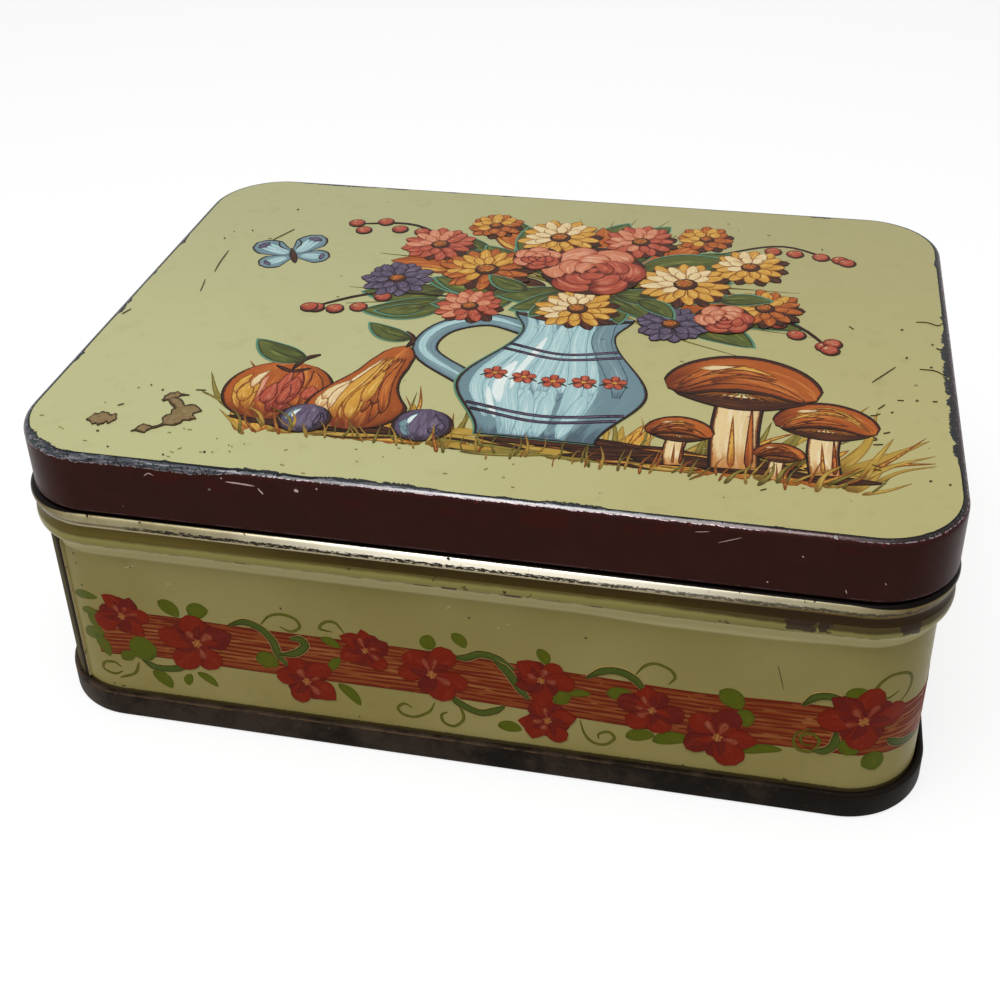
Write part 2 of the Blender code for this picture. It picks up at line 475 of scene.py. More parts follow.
@dataclass(frozen=True)
class SkirtPaint:
    """Dark brown enamel of the lid's skirt, with red undercoat showing in places, a painted highlight
    along the hem and painted shadow at its foot.

    Attributes:
        hem_height: Height of the pale line over the hem, a painted highlight.
        top: Height under which the skirt is flat.
        wear: The worn edge.
    """

    brown: Colour = screen(66, 34, 27)
    light: Colour = screen(74, 42, 38)
    red: Colour = screen(98, 28, 22)
    steel: Colour = screen(96, 98, 102)
    pale: Colour = screen(186, 170, 172)
    # Colour of the painted highlight over the hem.
    hem: Colour = screen(122, 92, 94)
    hem_height: float = 38.92
    top: float = 47.3
    wear: EdgeWear = EdgeWear()

    def material(self) -> bpy.types.Material:
        """Builds the material."""
        graph = Graph("skirt_enamel")
        edge = self.wear.layers(graph)
        point, height = edge["point"], edge["height"]
        dull = graph.step(graph.noise(point, 0.22, 4.0, 0.6), 0.42, 0.72)
        rusty = graph.step(graph.noise(point, 0.16, 3.0), 0.50, 0.62) * graph.step(height, 43.0, 46.5)
        speck = graph.specks(point, 0.30, 0.14, 0.08)
        # A painted highlight along the hem, broken in places.
        line = graph.window(height, self.hem_height - 0.05, self.hem_height + 0.05, 0.03)
        line = line * graph.step(edge["patchy"], 0.40, 0.55)
        # Painted shadow: near black at the skirt's foot, over the bead.
        foot = graph.step(height + edge["fine"] * 0.05, 38.80, 38.76)
        colour = graph.coats(self.brown, (dull * 0.55, self.light), (rusty * 0.3, self.red),
                             (speck * 0.7, self.pale), (line * 0.8, self.hem),
                             (foot, screen(20, 10, 9)), (edge["bare"], self.steel),
                             (edge["chips"], self.red), (edge["pale"], self.pale))
        graph.set(Base_Color=colour, Roughness=0.30 + dull * 0.12, Specular_IOR_Level=0.035)
        graph.bump(graph.noise(point, 0.15, 2.0), 0.03)
        return graph.material


@dataclass(frozen=True)
class WallPrint:
    """Cream enamel of the wall, from the printed lobe under the shoulder down to the bottom seam.

    Attributes:
        lobe_foot: Height where the lobe ends.
        band_foot: Height where the light band ends; the band is painted paler to offset the shade under
            the shoulder.
        top: Height where the print starts, above the lobe.
        slant: How much lower the groove's print ends at the right.
        dip: How much lower the light band lies between the middle and the right.
        missing: Spans along X where the groove's print is missing.
        ticks: Dark marks where the lobe ends: span along X, and lowest and highest height over its foot.
    """

    cream: Colour = screen(178, 163, 96)
    # Pale cream for lighter patches, and for the light band, which is painted paler to offset the
    # shoulder's shade.
    pale: Colour = screen(244, 232, 168)
    lobe: Colour = screen(180, 170, 98)
    dark: Colour = screen(58, 44, 28)
    olive: Colour = screen(92, 74, 34)
    lobe_foot: float = 32.9
    band_foot: float = 30.15
    top: float = 34.75
    slant: float = 0.53
    dip: float = 0.5
    # Painted shade of the groove towards the right.
    right_groove_shade: Colour = screen(60, 43, 21)
    primer: Colour = screen(62, 44, 36)
    missing: tuple[Place, ...] = ((43.7, 47.3), (47.9, 49.2), (58.3, 60.3))
    ticks: tuple[tuple[float, float, float, float], ...] = (
        (-1.8, 0.4, -0.2, 0.22), (7.0, 9.2, -0.22, 0.18), (1.6, 1.9, 0.0, 0.9), (10.0, 10.3, -0.1, 0.9),
        (-5.6, -3.2, -0.1, 0.1), (18.4, 20.2, -0.1, 0.12), (36.0, 36.3, 0.0, 0.8),
        (-31.0, -29.6, -0.1, 0.1),
    )

    def material(self) -> bpy.types.Material:
        """Builds the material."""
        graph = Graph("wall_enamel")
        point = graph.place()
        x, _, height = graph.parts(point)
        fine = graph.noise(point, 1.5, 5.0, 0.65)
        patchy = graph.noise(point, 0.45, 4.0, 0.6)
        broad = graph.noise(point, 0.04, 2.0)
        speck = graph.specks(point, 0.18, 0.30, 0.05)
        line = height + graph.window(x, 22.0, 47.0, 7.0) * self.dip
        band = graph.step(line, self.band_foot - 0.25, self.band_foot + 0.25)
        tick = (graph.window(line, self.lobe_foot - 0.14, self.lobe_foot + 0.06, 0.05)
                * (0.16 + graph.step(patchy, 0.46, 0.62) * 0.5))
        chip = graph.window(height, 33.0, 34.9, 0.15) * graph.step(patchy, 0.69, 0.71)
        right = graph.step(x, 22.0, 54.0)
        level = height + right * self.slant
        upper = graph.step(level + patchy * 0.4, 34.08, 34.68)
        # The light band's pale colour is painted light against the shoulder's shade; the groove turns to
        # painted shade at the right.
        wall = graph.coats(self.cream, (graph.step(broad, 0.35, 0.7) * 0.16, self.pale),
                           (graph.step(patchy, 0.55, 0.8) * 0.1, self.dark), (speck * 0.75, self.dark),
                           (band * 0.97, self.pale),
                           (graph.step(line, self.lobe_foot - 0.05, self.lobe_foot + 0.15), self.lobe),
                           (tick, self.dark), (chip, self.dark),
                           (upper * 0.85, graph.mix(graph.step(x, 20.0, 34.0), self.olive, self.right_groove_shade)))
        shake = graph.noise(point, 0.7, 4.0) - 0.5
        ragged = height + shake * 2.4
        torn = x + shake * -3.6
        missing = graph.window(torn, *self.missing[0], 0.15)
        for low, high in self.missing[1:]:
            missing = graph.most(missing, graph.window(torn, low, high, 0.15))
        bare = missing * graph.step(ragged, 32.92, 33.02)
        wall = graph.mix(bare * 0.9, wall, self.primer)
        for low, high, foot, top in self.ticks:
            mark = (graph.window(torn, low, high, 0.12)
                    * graph.window(line, self.lobe_foot + foot, self.lobe_foot + top, 0.06))
            wall = graph.mix(mark * 0.85, wall, self.dark)
        # A thin dark line at the foot of the wall where it meets the seam, partly dirt and partly painted
        # shade.
        grime_and_shade = graph.step(height + fine * 0.35, 4.86, 4.66)
        wall = graph.mix(grime_and_shade * 0.85, wall, self.dark)
        graph.set(Base_Color=wall, Roughness=0.27 + patchy * 0.18, Specular_IOR_Level=0.10)
        relief = chip * -1.0 + graph.noise(point, 0.09, 1.0) * 2.5
        graph.bump(relief, 0.02)
        return graph.material


@dataclass(frozen=True)
class ShoulderLacquer:
    """Gold lacquer of the bead, rubbed bright with a painted highlight on top, painted shade and chips
    below, a painted shadow under the lid, and the olive groove with painted shade at its right.

    Attributes:
        chips_top: Height where the chips start.
        groove_top: Height where the olive starts.
    """

    gold: Colour = screen(150, 141, 108)
    # Painted highlight on the front of the bead, standing also for tin worn bright.
    worn: Colour = screen(250, 242, 220)
    olive: Colour = screen(88, 70, 30)
    chip: Colour = screen(44, 34, 18)
    # Painted shade of the groove at the right.
    grime_and_shade: Colour = screen(66, 49, 29)
    fresh: Colour = screen(140, 124, 60)
    edge: Colour = screen(164, 152, 120)
    # Painted shadow in the gap under the lid.
    gap_shadow: Colour = screen(16, 11, 8)
    tin: Colour = screen(172, 164, 140)
    stain: Colour = screen(122, 108, 78)
    chips_top: float = 37.22
    groove_top: float = 36.0

    def material(self) -> bpy.types.Material:
        """Builds the material."""
        graph = Graph("shoulder_lacquer")
        point = graph.place()
        x, _, height = graph.parts(point)
        along = graph.scaled(point, (0.5, 0.5, 1.0))
        flake = graph.noise(along, 2.0, 5.0, 0.7)
        patchy = graph.noise(point, 0.30, 3.0, 0.6)
        ragged = height + (flake - 0.5) * 0.9
        grain = graph.noise(point, 1.5, 4.0, 0.65)
        flaked = graph.step(grain, 0.43, 0.49) * graph.step(x + patchy * 12.0, -46.0, -32.0)
        flaked = flaked * (1.0 - graph.step(x, 8.0, 36.0) * 0.45)
        chips = graph.window(ragged, 36.30, self.chips_top, 0.05) * flaked
        rare = graph.step(graph.noise(point, 1.2, 4.0), 0.66, 0.70) * graph.step(height, 36.8, 37.4)
        chips = graph.most(chips, rare)
        stained = graph.step(patchy, 0.40, 0.70) * 0.35
        # The worn colour over this span is a painted highlight across the front of the bead, partly tin
        # worn bright.
        bright = graph.step(x, -40.0, 0.0) * graph.step(x, 54.0, 14.0)
        corner = graph.most(graph.step(x, 51.0, 60.0), graph.step(x, -53.0, -61.0))
        # The olive below height 37.2 is painted shade on the bead's lower half.
        gold = graph.coats(self.gold, (stained, self.olive), (bright, self.worn),
                           (corner * 0.8, self.olive),
                           (graph.step(height, 37.2, 36.5) * 0.5, self.olive),
                           (graph.step(height, 36.35, 36.25),
                            graph.mix(graph.step(x, 20.0, 48.0), self.edge, self.olive)))
        # Painted shadow in the gap under the lid's skirt, reaching lower towards the right and at the
        # corners.
        gap = 38.12 - (graph.step(x, -30.0, 50.0) * 0.12 + corner * 0.36)
        shadowed_gap = graph.step(height - gap, -0.04, 0.04)
        is_groove = graph.step(height + flake * 0.1, self.groove_top + 0.1, self.groove_top)
        # The groove darkens towards the right with painted shade.
        groove = graph.coats(self.olive, (patchy * 0.5, self.chip),
                             (graph.step(x, -12.0, -44.0) * 0.62, self.fresh),
                             (graph.step(x, 30.0, 46.0) * 0.95, self.grime_and_shade))
        neck = graph.step(height + patchy * 0.5, 39.0, 39.9)
        rubbed = graph.step(graph.noise(graph.scaled(point, (1.6, 1.6, 0.12)), 1.0, 4.0), 0.44, 0.64)
        colour = graph.coats(graph.mix(chips, gold, self.chip), (is_groove, groove), (shadowed_gap, self.gap_shadow),
                             (neck, graph.mix(rubbed, self.stain, self.tin)))
        shiny = (1.0 - graph.most(is_groove, shadowed_gap)) * (1.0 - chips)
        shiny = graph.most(shiny, neck)
        graph.set(Base_Color=colour, Metallic=shiny * 0.9, Roughness=0.32 + patchy * 0.12,
                  Specular_IOR_Level=0.05)
        graph.bump(chips * -1.0, 0.02)
        return graph.material


@dataclass(frozen=True)
class SeamStrip:
    """Dull lacquered tin of the lock seam: olive brown, with a dark fold and a tan printed margin."""

    olive: Colour = screen(74, 63, 30)
    light: Colour = screen(100, 88, 46)
    fold: Colour = screen(40, 31, 12)
    margin: Colour = screen(206, 192, 144)

    def material(self) -> bpy.types.Material:
        """Builds the material."""
        graph = Graph("lock_seam_lacquer")
        point = graph.place()
        across, _, _ = graph.attribute("strip")
        streak = graph.noise(graph.scaled(point, (1.2, 1.2, 0.25)), 1.4, 4.0)
        worn = across + (streak - 0.5) * 0.06
        colour = graph.coats(self.olive, (graph.step(streak, 0.42, 0.66), self.light),
                             (graph.step(worn, 0.26, 0.36), self.fold),
                             (graph.step(across, 0.485, 0.495), self.margin))
        pit = graph.step(graph.noise(point, 1.6, 4.0), 0.60, 0.66)
        graph.set(Base_Color=graph.mix(pit * 0.6, colour, self.fold), Roughness=0.45 + streak * 0.2,
                  Specular_IOR_Level=0.03)
        graph.bump(streak, 0.01)
        return graph.material


@dataclass(frozen=True)
class RimTin:
    """Tarnished tinplate of the double seam, with flecks and a broken tan line at its top, which is a
    painted highlight.

    Attributes:
        line: Height of the tan line, the painted highlight.
    """

    brown: Colour = screen(66, 54, 44)
    black: Colour = screen(24, 18, 13)
    fleck: Colour = screen(112, 96, 74)
    # Colour of the painted highlight along the top of the seam.
    tan: Colour = screen(122, 96, 66)
    line: float = 4.16

    def material(self) -> bpy.types.Material:
        """Builds the material."""
        graph = Graph("rim_tinplate")
        point = graph.place()
        x, _, height = graph.parts(point)
        fine = graph.noise(point, 1.1, 5.0, 0.65)
        patchy = graph.noise(point, 0.16, 4.0, 0.6)
        drawn = graph.noise(graph.scaled(point, (0.10, 0.10, 3.0)), 1.0, 3.0)
        # Darker towards the right, and almost black at the right end.
        dark = patchy + fine * 0.25 + graph.step(x, -50.0, 62.0) * 0.22
        fleck = graph.step(fine, 0.63, 0.70) * graph.step(patchy, 0.46, 0.56)
        # Painted highlight: a broken tan line along the top of the seam, fading out towards the right.
        line = (graph.window(height, self.line - 0.06, self.line + 0.06, 0.04)
                * graph.step(graph.noise(point, 0.5, 4.0, 0.7), 0.36, 0.60))
        line = line * graph.step(x, 50.0, 10.0)
        colour = graph.coats(self.brown, (graph.step(dark, 0.52, 0.84), self.black),
                             (fleck * 0.7, self.fleck),
                             (graph.step(drawn, 0.55, 0.75) * 0.3, self.black),
                             (graph.step(x, 44.0, 58.0) * 0.95, self.black), (line * 0.55, self.tan))
        graph.set(Base_Color=colour, Metallic=0.1, Roughness=0.38 + patchy * 0.3,
                  Specular_IOR_Level=0.06)
        graph.bump(drawn + fine, 0.008)
        return graph.material


@dataclass(frozen=True)
class BareTin:
    """Tinplate with no print, from bright to tarnished.

    Attributes:
        name: The material's name.
        clean: Colour of the clean metal.
        tarnish: Colour of the tarnish.
        covered: Share of the surface that tarnish covers, 0 to 1.
        metallic: Metallic value.
        roughness: Least roughness.
    """

    name: str
    clean: Colour
    tarnish: Colour
    covered: float = 0.5
    metallic: float = 0.9
    roughness: float = 0.3

    def material(self) -> bpy.types.Material:
        """Builds the material, or finds it if it was built before."""
        known = bpy.data.materials.get(self.name)
        if known:
            return known
        graph = Graph(self.name)
        point = graph.place()
        fine = graph.noise(point, 1.1, 5.0, 0.65)
        patchy = graph.noise(point, 0.16, 4.0, 0.6)
        rolled = graph.noise(graph.scaled(point, (0.06, 2.0, 2.0)), 1.0, 2.0)
        edge = 0.75 - 0.5 * self.covered
        share = graph.step(patchy + fine * 0.25, edge, edge + 0.22)
        colour = graph.mix(share, self.clean, self.tarnish)
        pit = graph.step(fine, 0.62, 0.7) * 0.5
        graph.set(Base_Color=graph.mix(pit, colour, self.tarnish), Metallic=self.metallic,
                  Roughness=self.roughness + patchy * 0.3, Specular_IOR_Level=0.3)
        graph.bump(rolled + fine, 0.006)
        return graph.material


# The outline and the sheets swept round it


@dataclass(frozen=True)
class Outline:
    """The lid's outline seen from above; every sheet follows it at its own reach.

    Attributes:
        length: Along X.
        width: Along Y.
        radius: Corner radius.
        steps: Facets in a corner.
    """

    length: float = 130.0
    width: float = 94.0
    radius: float = 12.1
    steps: int = 24

    @property
    def across(self) -> float:
        """Half the straight part of a long side."""
        return self.length / 2 - self.radius

    @property
    def deep(self) -> float:
        """Half the straight part of a short side."""
        return self.width / 2 - self.radius

    def ring(self) -> list[tuple[Vector, Vector]]:
        """Corner centres with directions outwards, counter-clockwise from the front left."""
        rays = []
        for quarter, (side, back) in enumerate(((-1, -1), (1, -1), (1, 1), (-1, 1))):
            centre = Vector((side * self.across, back * self.deep))
            for step in range(self.steps + 1):
                angle = math.pi + (quarter + step / self.steps) * math.pi / 2
                rays.append((centre, Vector((math.cos(angle), math.sin(angle)))))
        return rays

    def turn(self, reach: float) -> float:
        """Length of one corner's arc at a reach."""
        return (self.radius + reach) * math.pi / 2

    def at(self, along: float, reach: float, lift: float) -> Vector:
        """A point on a wall of the outline.

        Args:
            along: Distance round the wall at that reach, from the middle of the front.
            reach: How far the wall lies outside the outline.
            lift: How far the point stands off the wall.

        Returns:
            The point.
        """
        turn = self.turn(reach)
        total = 4 * (self.across + self.deep + turn)
        rest = (along + self.across) % total
        for quarter in range(4):
            straight = 2 * (self.across, self.deep)[quarter % 2]
            start = quarter * math.pi / 2 - math.pi / 2
            side = (1, 1, -1, -1)[quarter]
            back = (-1, 1, 1, -1)[quarter]
            centre = Vector((side * self.across, back * self.deep))
            if rest <= straight:
                out = Vector((math.cos(start), math.sin(start)))
                run = Vector((-out.y, out.x))
                return centre + out * (self.radius + reach + lift) + run * (rest - straight)
            rest -= straight
            if rest <= turn or quarter == 3:
                angle = start + rest / (self.radius + reach)
                out = Vector((math.cos(angle), math.sin(angle)))
                return centre + out * (self.radius + reach + lift)
            rest -= turn
        raise ValueError("the place is off the outline")


def arc(centre: Place, radius: float, start: float, stop: float, steps: int = 8) -> list[Place]:
    """Points on a circle, from one angle to another, in degrees."""
    angles = [math.radians(start + (stop - start) * step / steps) for step in range(steps + 1)]
    return [(centre[0] + radius * math.cos(a), centre[1] + radius * math.sin(a)) for a in angles]


def smooth(points: Sequence[Place], steps: int) -> list[Place]:
    """A Catmull-Rom line through all the points.

    Args:
        points: At least two points.
        steps: Spans between two of them.

    Returns:
        The points of the line, its two ends included.
    """
    ends = [tuple(2 * a - b for a, b in zip(points[0], points[1])), *points,
            tuple(2 * a - b for a, b in zip(points[-1], points[-2]))]
    line = []
    for before, start, stop, after in zip(ends, ends[1:], ends[2:], ends[3:]):
        for step in range(steps):
            t = step / steps
            line.append(tuple(
                0.5 * (2 * b + (c - a) * t + (2 * a - 5 * b + 4 * c - d) * t * t
                       + (3 * b - a - 3 * c + d) * t ** 3)
                for a, b, c, d in zip(before, start, stop, after)))
    return line + [tuple(points[-1])]


def add_object(name: str, data: bpy.types.ID) -> bpy.types.Object:
    """Adds an object to the scene."""
    item = bpy.data.objects.new(name, data)
    bpy.context.scene.collection.objects.link(item)
    return item


def make_piece(name: str, corners: Sequence[Sequence[float]], faces: Sequence[Sequence[int]],
               materials: Sequence[bpy.types.Material], body: Body, slot: Slot, crease: float = 40.0,
               **values: Sequence[float]) -> bpy.types.Object:
    """Makes a smooth piece that rides on a body.

    Args:
        name: The piece's name.
        corners: Its corners, in millimetres.
        faces: Its faces.
        materials: Its materials.
        body: The body that it rides on.
        slot: The record's material slot; not used.
        crease: Angle from which an edge stays sharp, in degrees.
        values: Attributes of the corners, each with one number or three for each corner.

    Returns:
        The piece.
    """
    mesh = bpy.data.meshes.new(name)
    mesh.from_pydata([tuple(part * MM for part in corner) for corner in corners], [], faces)
    for label, numbers in values.items():
        kind, part = (("FLOAT", "value") if len(numbers) == len(corners) else ("FLOAT_VECTOR", "vector"))
        mesh.attributes.new(label, kind, "POINT").data.foreach_set(part, numbers)
    for material in materials:
        mesh.materials.append(material)
    mesh.shade_smooth()
    mesh.set_sharp_from_angle(angle=math.radians(crease))
    piece = add_object(name, mesh)
    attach(piece, body.value)
    LOG.info("%s: %d faces", name, len(faces))
    return piece


@dataclass
class Sheet:
    """A formed sheet: the line of its outer face, swept round the outline and thickened inwards.

    Attributes:
        name: The piece's name.
        node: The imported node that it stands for.
        body: The body that it rides on.
        slot: The record's material slot.
        section: The outer face as (reach, height), from the panel or the neck to the foot.
        origin: Index of the section's point where the path attribute is 0.
        panel: Whether a flat panel closes the ring of the first point.
        shift: How far the sheet lies to the right of the frame's middle.
        inward: Whether the section runs with its outer face on its right.
        thickness: The sheet's thickness.
    """

    name: str
    node: str
    body: Body
    slot: Slot
    section: list[Place]
    origin: int = 0
    panel: bool = False
    shift: float = 0.0
    inward: bool = False
    thickness: float = 0.25

    def paths(self) -> list[float]:
        """Distance of each point of the section from the origin, along the section."""
        lengths = [0.0]
        for before, after in zip(self.section, self.section[1:]):
            lengths.append(lengths[-1] + math.dist(before, after))
        return [length - lengths[self.origin] for length in lengths]

    def build(self, outline: Outline, finishes: Sequence[tuple[int, bpy.types.Material]],
              inside: bpy.types.Material) -> bpy.types.Object:
        """Makes the sheet.

        Args:
            outline: The outline that it follows.
            finishes: Finishes of the outer face, each with the section's point where it starts.
            inside: Finish of the inner face and of the cut edges.

        Returns:
            The piece, riding on its body.
        """
        rays = outline.ring()
        count, corners = len(rays), []
        for reach, height in self.section:
            for centre, out in rays:
                place = centre + out * (outline.radius + reach)
                corners.append((place.x + self.shift, place.y, height))
        faces = []
        for row in range(len(self.section) - 1):
            for column in range(count):
                after = (column + 1) % count
                faces.append((row * count + column, (row + 1) * count + column,
                              (row + 1) * count + after, row * count + after))
        if self.panel:
            faces.append(tuple(range(count)))
        if self.inward:
            faces = [tuple(reversed(face)) for face in faces]
        path = [value for distance in self.paths() for _ in rays for value in (distance, 0.0, 0.0)]
        number = len(finishes)
        piece = make_piece(self.name, corners, faces,
                           [item for _, item in finishes] + [inside] * number,
                           self.body, self.slot, 35.0, sheet=path)
        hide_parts(self.node)
        for part, (start, _) in enumerate(finishes):
            for index in range(start * count, (len(self.section) - 1) * count):
                piece.data.polygons[index].material_index = part
        thick = piece.modifiers.new("Thickness", "SOLIDIFY")
        thick.thickness, thick.offset, thick.use_even_offset = self.thickness * MM, -1.0, True
        thick.material_offset = thick.material_offset_rim = number
        return piece


@dataclass
class TinShape:
    """Sizes of the three sheets and their sections.

    Attributes:
        outline: The lid's outline.
        top: Height of the box.
        sheet: Thickness of the tinplate.
        hem: Thickness of a hem.
        lid_height: Height of the lid's skirt.
        edge: Radius of the lid's rolled edge.
        neck: Reach of the neck and of the wall.
        ledge: Height of the ledge under the lid.
        shoulder: Height of the shoulder below the ledge.
        pitch: Distance between two layers of the double seam.
        rim: Reach of the double seam's outer face.
        seam_top: Height of the double seam.
        sink: Depth of the countersunk panel.
    """

    outline: Outline = field(default_factory=Outline)
    top: float = 48.0
    sheet: float = 0.25
    hem: float = 0.6
    lid_height: float = 9.5
    edge: float = 1.0
    neck: float = -1.2
    ledge: float = 38.2
    shoulder: float = 7.3
    pitch: float = 0.4
    rim: float = 0.0
    seam_top: float = 4.35
    sink: float = 3.4

    @property
    def wall_top(self) -> float:
        """Height where the plain wall starts."""
        return self.ledge - self.shoulder

    @cached_property
    def lid_shift(self) -> float:
        """How far the lid lies to the right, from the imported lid's own box."""
        low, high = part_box("lid")
        return (low.x + high.x) / 2 / MM

    def lid_section(self) -> list[Place]:
        """Outer face of the lid, with rings in the panel that carry the worn edge."""
        margin = [(-self.edge - ring, self.top) for ring in (4.0, 2.0, 1.0, 0.5, 0.2)]
        rolled = arc((-self.edge, self.top - self.edge), self.edge, 90, 0, 12)
        foot, fold = self.top - self.lid_height, self.hem / 2
        skirt = [(0.0, foot + share * (self.lid_height - self.edge)) for share in (0.98, 0.5, 0.1)]
        hem = arc((-fold, foot + fold), fold, 0, -180)
        return margin + rolled + skirt + hem + [(-self.hem, foot + 2.2)]

    def wall_section(self) -> list[Place]:
        """Outer face of the wall strip, from the neck's hem to the body hook."""
        fold = self.hem / 2
        neck_top = self.top - self.sheet - 1.2
        neck = [(self.neck - self.hem, neck_top - 2.4)]
        neck += arc((self.neck - fold, neck_top - fold), fold, 180, 0)
        ledge = arc((self.neck + 0.6, self.ledge + 0.6), 0.6, 180, 270)
        bead = arc((self.neck + 1.75 - 0.85, self.ledge - 0.85), 0.85, 90, -50, 16)
        down = (0.27, 0.36, 0.45, 0.53, 0.62, 0.70, 0.77, 0.84, 0.89, 0.945, 1.00)
        out = (0.84, 0.79, 0.85, 0.96, 1.00, 0.97, 0.87, 0.62, 0.36, 0.12, 0.00)
        rib = [(self.neck + 1.55 * o, self.ledge - self.shoulder * d) for d, o in zip(down, out)]
        shoulder = smooth([bead[-1]] + rib + [(self.neck, self.wall_top - 0.85)], 4)
        turn = (self.sheet + 2 * (self.pitch - self.sheet)) / 2
        low = self.sheet + self.pitch + turn
        hook = arc((self.neck + turn, low), turn, 180, 360)
        return neck + ledge + bead[:-1] + shoulder + hook + [(self.neck + 2 * turn, 3.675)]

    def end_section(self) -> list[Place]:
        """Outer face of the bottom end, from the panel to the end of the cover hook."""
        chuck, foot = self.neck - self.sheet - self.pitch, 0.5
        step = chuck - 0.4 - 5.5
        turn = (self.sheet + 2 * (self.pitch - self.sheet)) / 2
        roll = turn + self.sheet
        panel = smooth([(step - 0.9, self.sink - 0.6), (step - 0.45, self.sink - 0.3),
                        (step, self.sink)], 5)
        sink = arc((chuck - 0.4, self.sink - 0.4), 0.4, 90, 0)
        inner = arc((chuck + foot, foot), foot, 180, 270)
        outer = arc((self.rim - foot, foot), foot, 270, 360)
        cover = arc((self.rim - roll, self.seam_top - roll), roll, 0, 180)
        return panel + sink + inner + outer + cover + [(self.rim - 2 * roll, 1.075)]

    def on_top(self, x: float, y: float, lift: float) -> Vector:
        """A point on the lid's top, lift millimetres off it."""
        return Vector((x + self.lid_shift, y, self.top + lift))

    def on_skirt(self, along: float, height: float, lift: float) -> Vector:
        """A point on the lid's skirt, lift millimetres off it."""
        place = self.outline.at(along, 0.0, lift)
        return Vector((place.x + self.lid_shift, place.y, height))

    def on_wall(self, along: float, height: float, lift: float) -> Vector:
        """A point on the wall, lift millimetres off it."""
        place = self.outline.at(along, self.neck, lift)
        return Vector((place.x, place.y, height))


# Strokes of ink


@dataclass
class Stroke:
    """One stroke: a smooth spine with a width along it.

    Attributes:
        spine: Points that the spine passes through, in millimetres on the surface.
        width: Full width at the widest place.
        shape: Share of the width at each share of the length.
        steps: Steps between two points of the spine.
        across: Steps across the stroke.
        level: How far the ink stands off the surface, in layers.
    """

    spine: Sequence[Place]
    width: float
    shape: Shape
    steps: int = 6
    across: int = 4
    level: int = 0

    def grid(self) -> list[list[tuple[float, float, float, float]]]:
        """Rows along the stroke of (x, y, share along, share across)."""
        line = smooth(self.spine, max(2, self.steps))
        last = len(line) - 1
        rows = []
        for index, (x, y) in enumerate(line):
            before, after = line[max(0, index - 1)], line[min(last, index + 1)]
            dx, dy = after[0] - before[0], after[1] - before[1]
            size = math.hypot(dx, dy) or 1.0
            share = index / last
            half = max(self.width * self.shape(share), 0.03) / 2
            sides = (2 * column / self.across - 1 for column in range(self.across + 1))
            rows.append([(x - dy / size * half * side, y + dx / size * half * side, share,
                          (1 + side) / 2) for side in sides])
        return rows


def polar(centre: Place, angle: float, far: float) -> Place:
    """The place at a distance from another, at an angle in degrees."""
    turn = math.radians(angle)
    return centre[0] + math.cos(turn) * far, centre[1] + math.sin(turn) * far


def leaf_shape(share: float) -> float:
    """Pointed at both ends, widest before the middle."""
    return math.sin(math.pi * share ** 0.8) ** 0.75 if 0 < share < 1 else 0.0


def petal_shape(share: float) -> float:
    """Narrow where it starts, and broad with a blunt point at its end."""
    return min(1.0, 0.28 + 1.25 * share) * math.sqrt(max(0.0, 1 - max(0.0, (share - 0.55) / 0.45) ** 2))


def lobe_shape(share: float) -> float:
    """A petal with a broad round tip."""
    return min(1.0, 0.34 + 1.2 * share) * math.sqrt(max(0.0, 1 - max(0.0, (share - 0.62) / 0.38) ** 2.4))


def point_shape(share: float) -> float:
    """A petal with a pointed tip."""
    return min(1.0, 0.30 + 1.5 * share) * (1 - max(0.0, (share - 0.5) / 0.5) ** 1.9)


def oval_shape(share: float) -> float:
    """A leaf with blunt ends."""
    return math.sin(math.pi * share ** 0.9) ** 0.62 if 0 < share < 1 else 0.0


def round_shape(share: float) -> float:
    """A circle or an ellipse."""
    return math.sqrt(max(0.0, 1 - (2 * share - 1) ** 2))


def band_shape(share: float) -> float:
    """The full width from end to end."""
    return 1.0


def taper_shape(share: float) -> float:
    """Full where it starts, and fine at its end."""
    return (1 - share) ** 0.7 * min(1.0, 0.4 + 6 * share)


def curl_shape(share: float) -> float:
    """A tendril: fine at both ends."""
    return min(1.0, 0.35 + 3 * share, 0.35 + 3 * (1 - share))


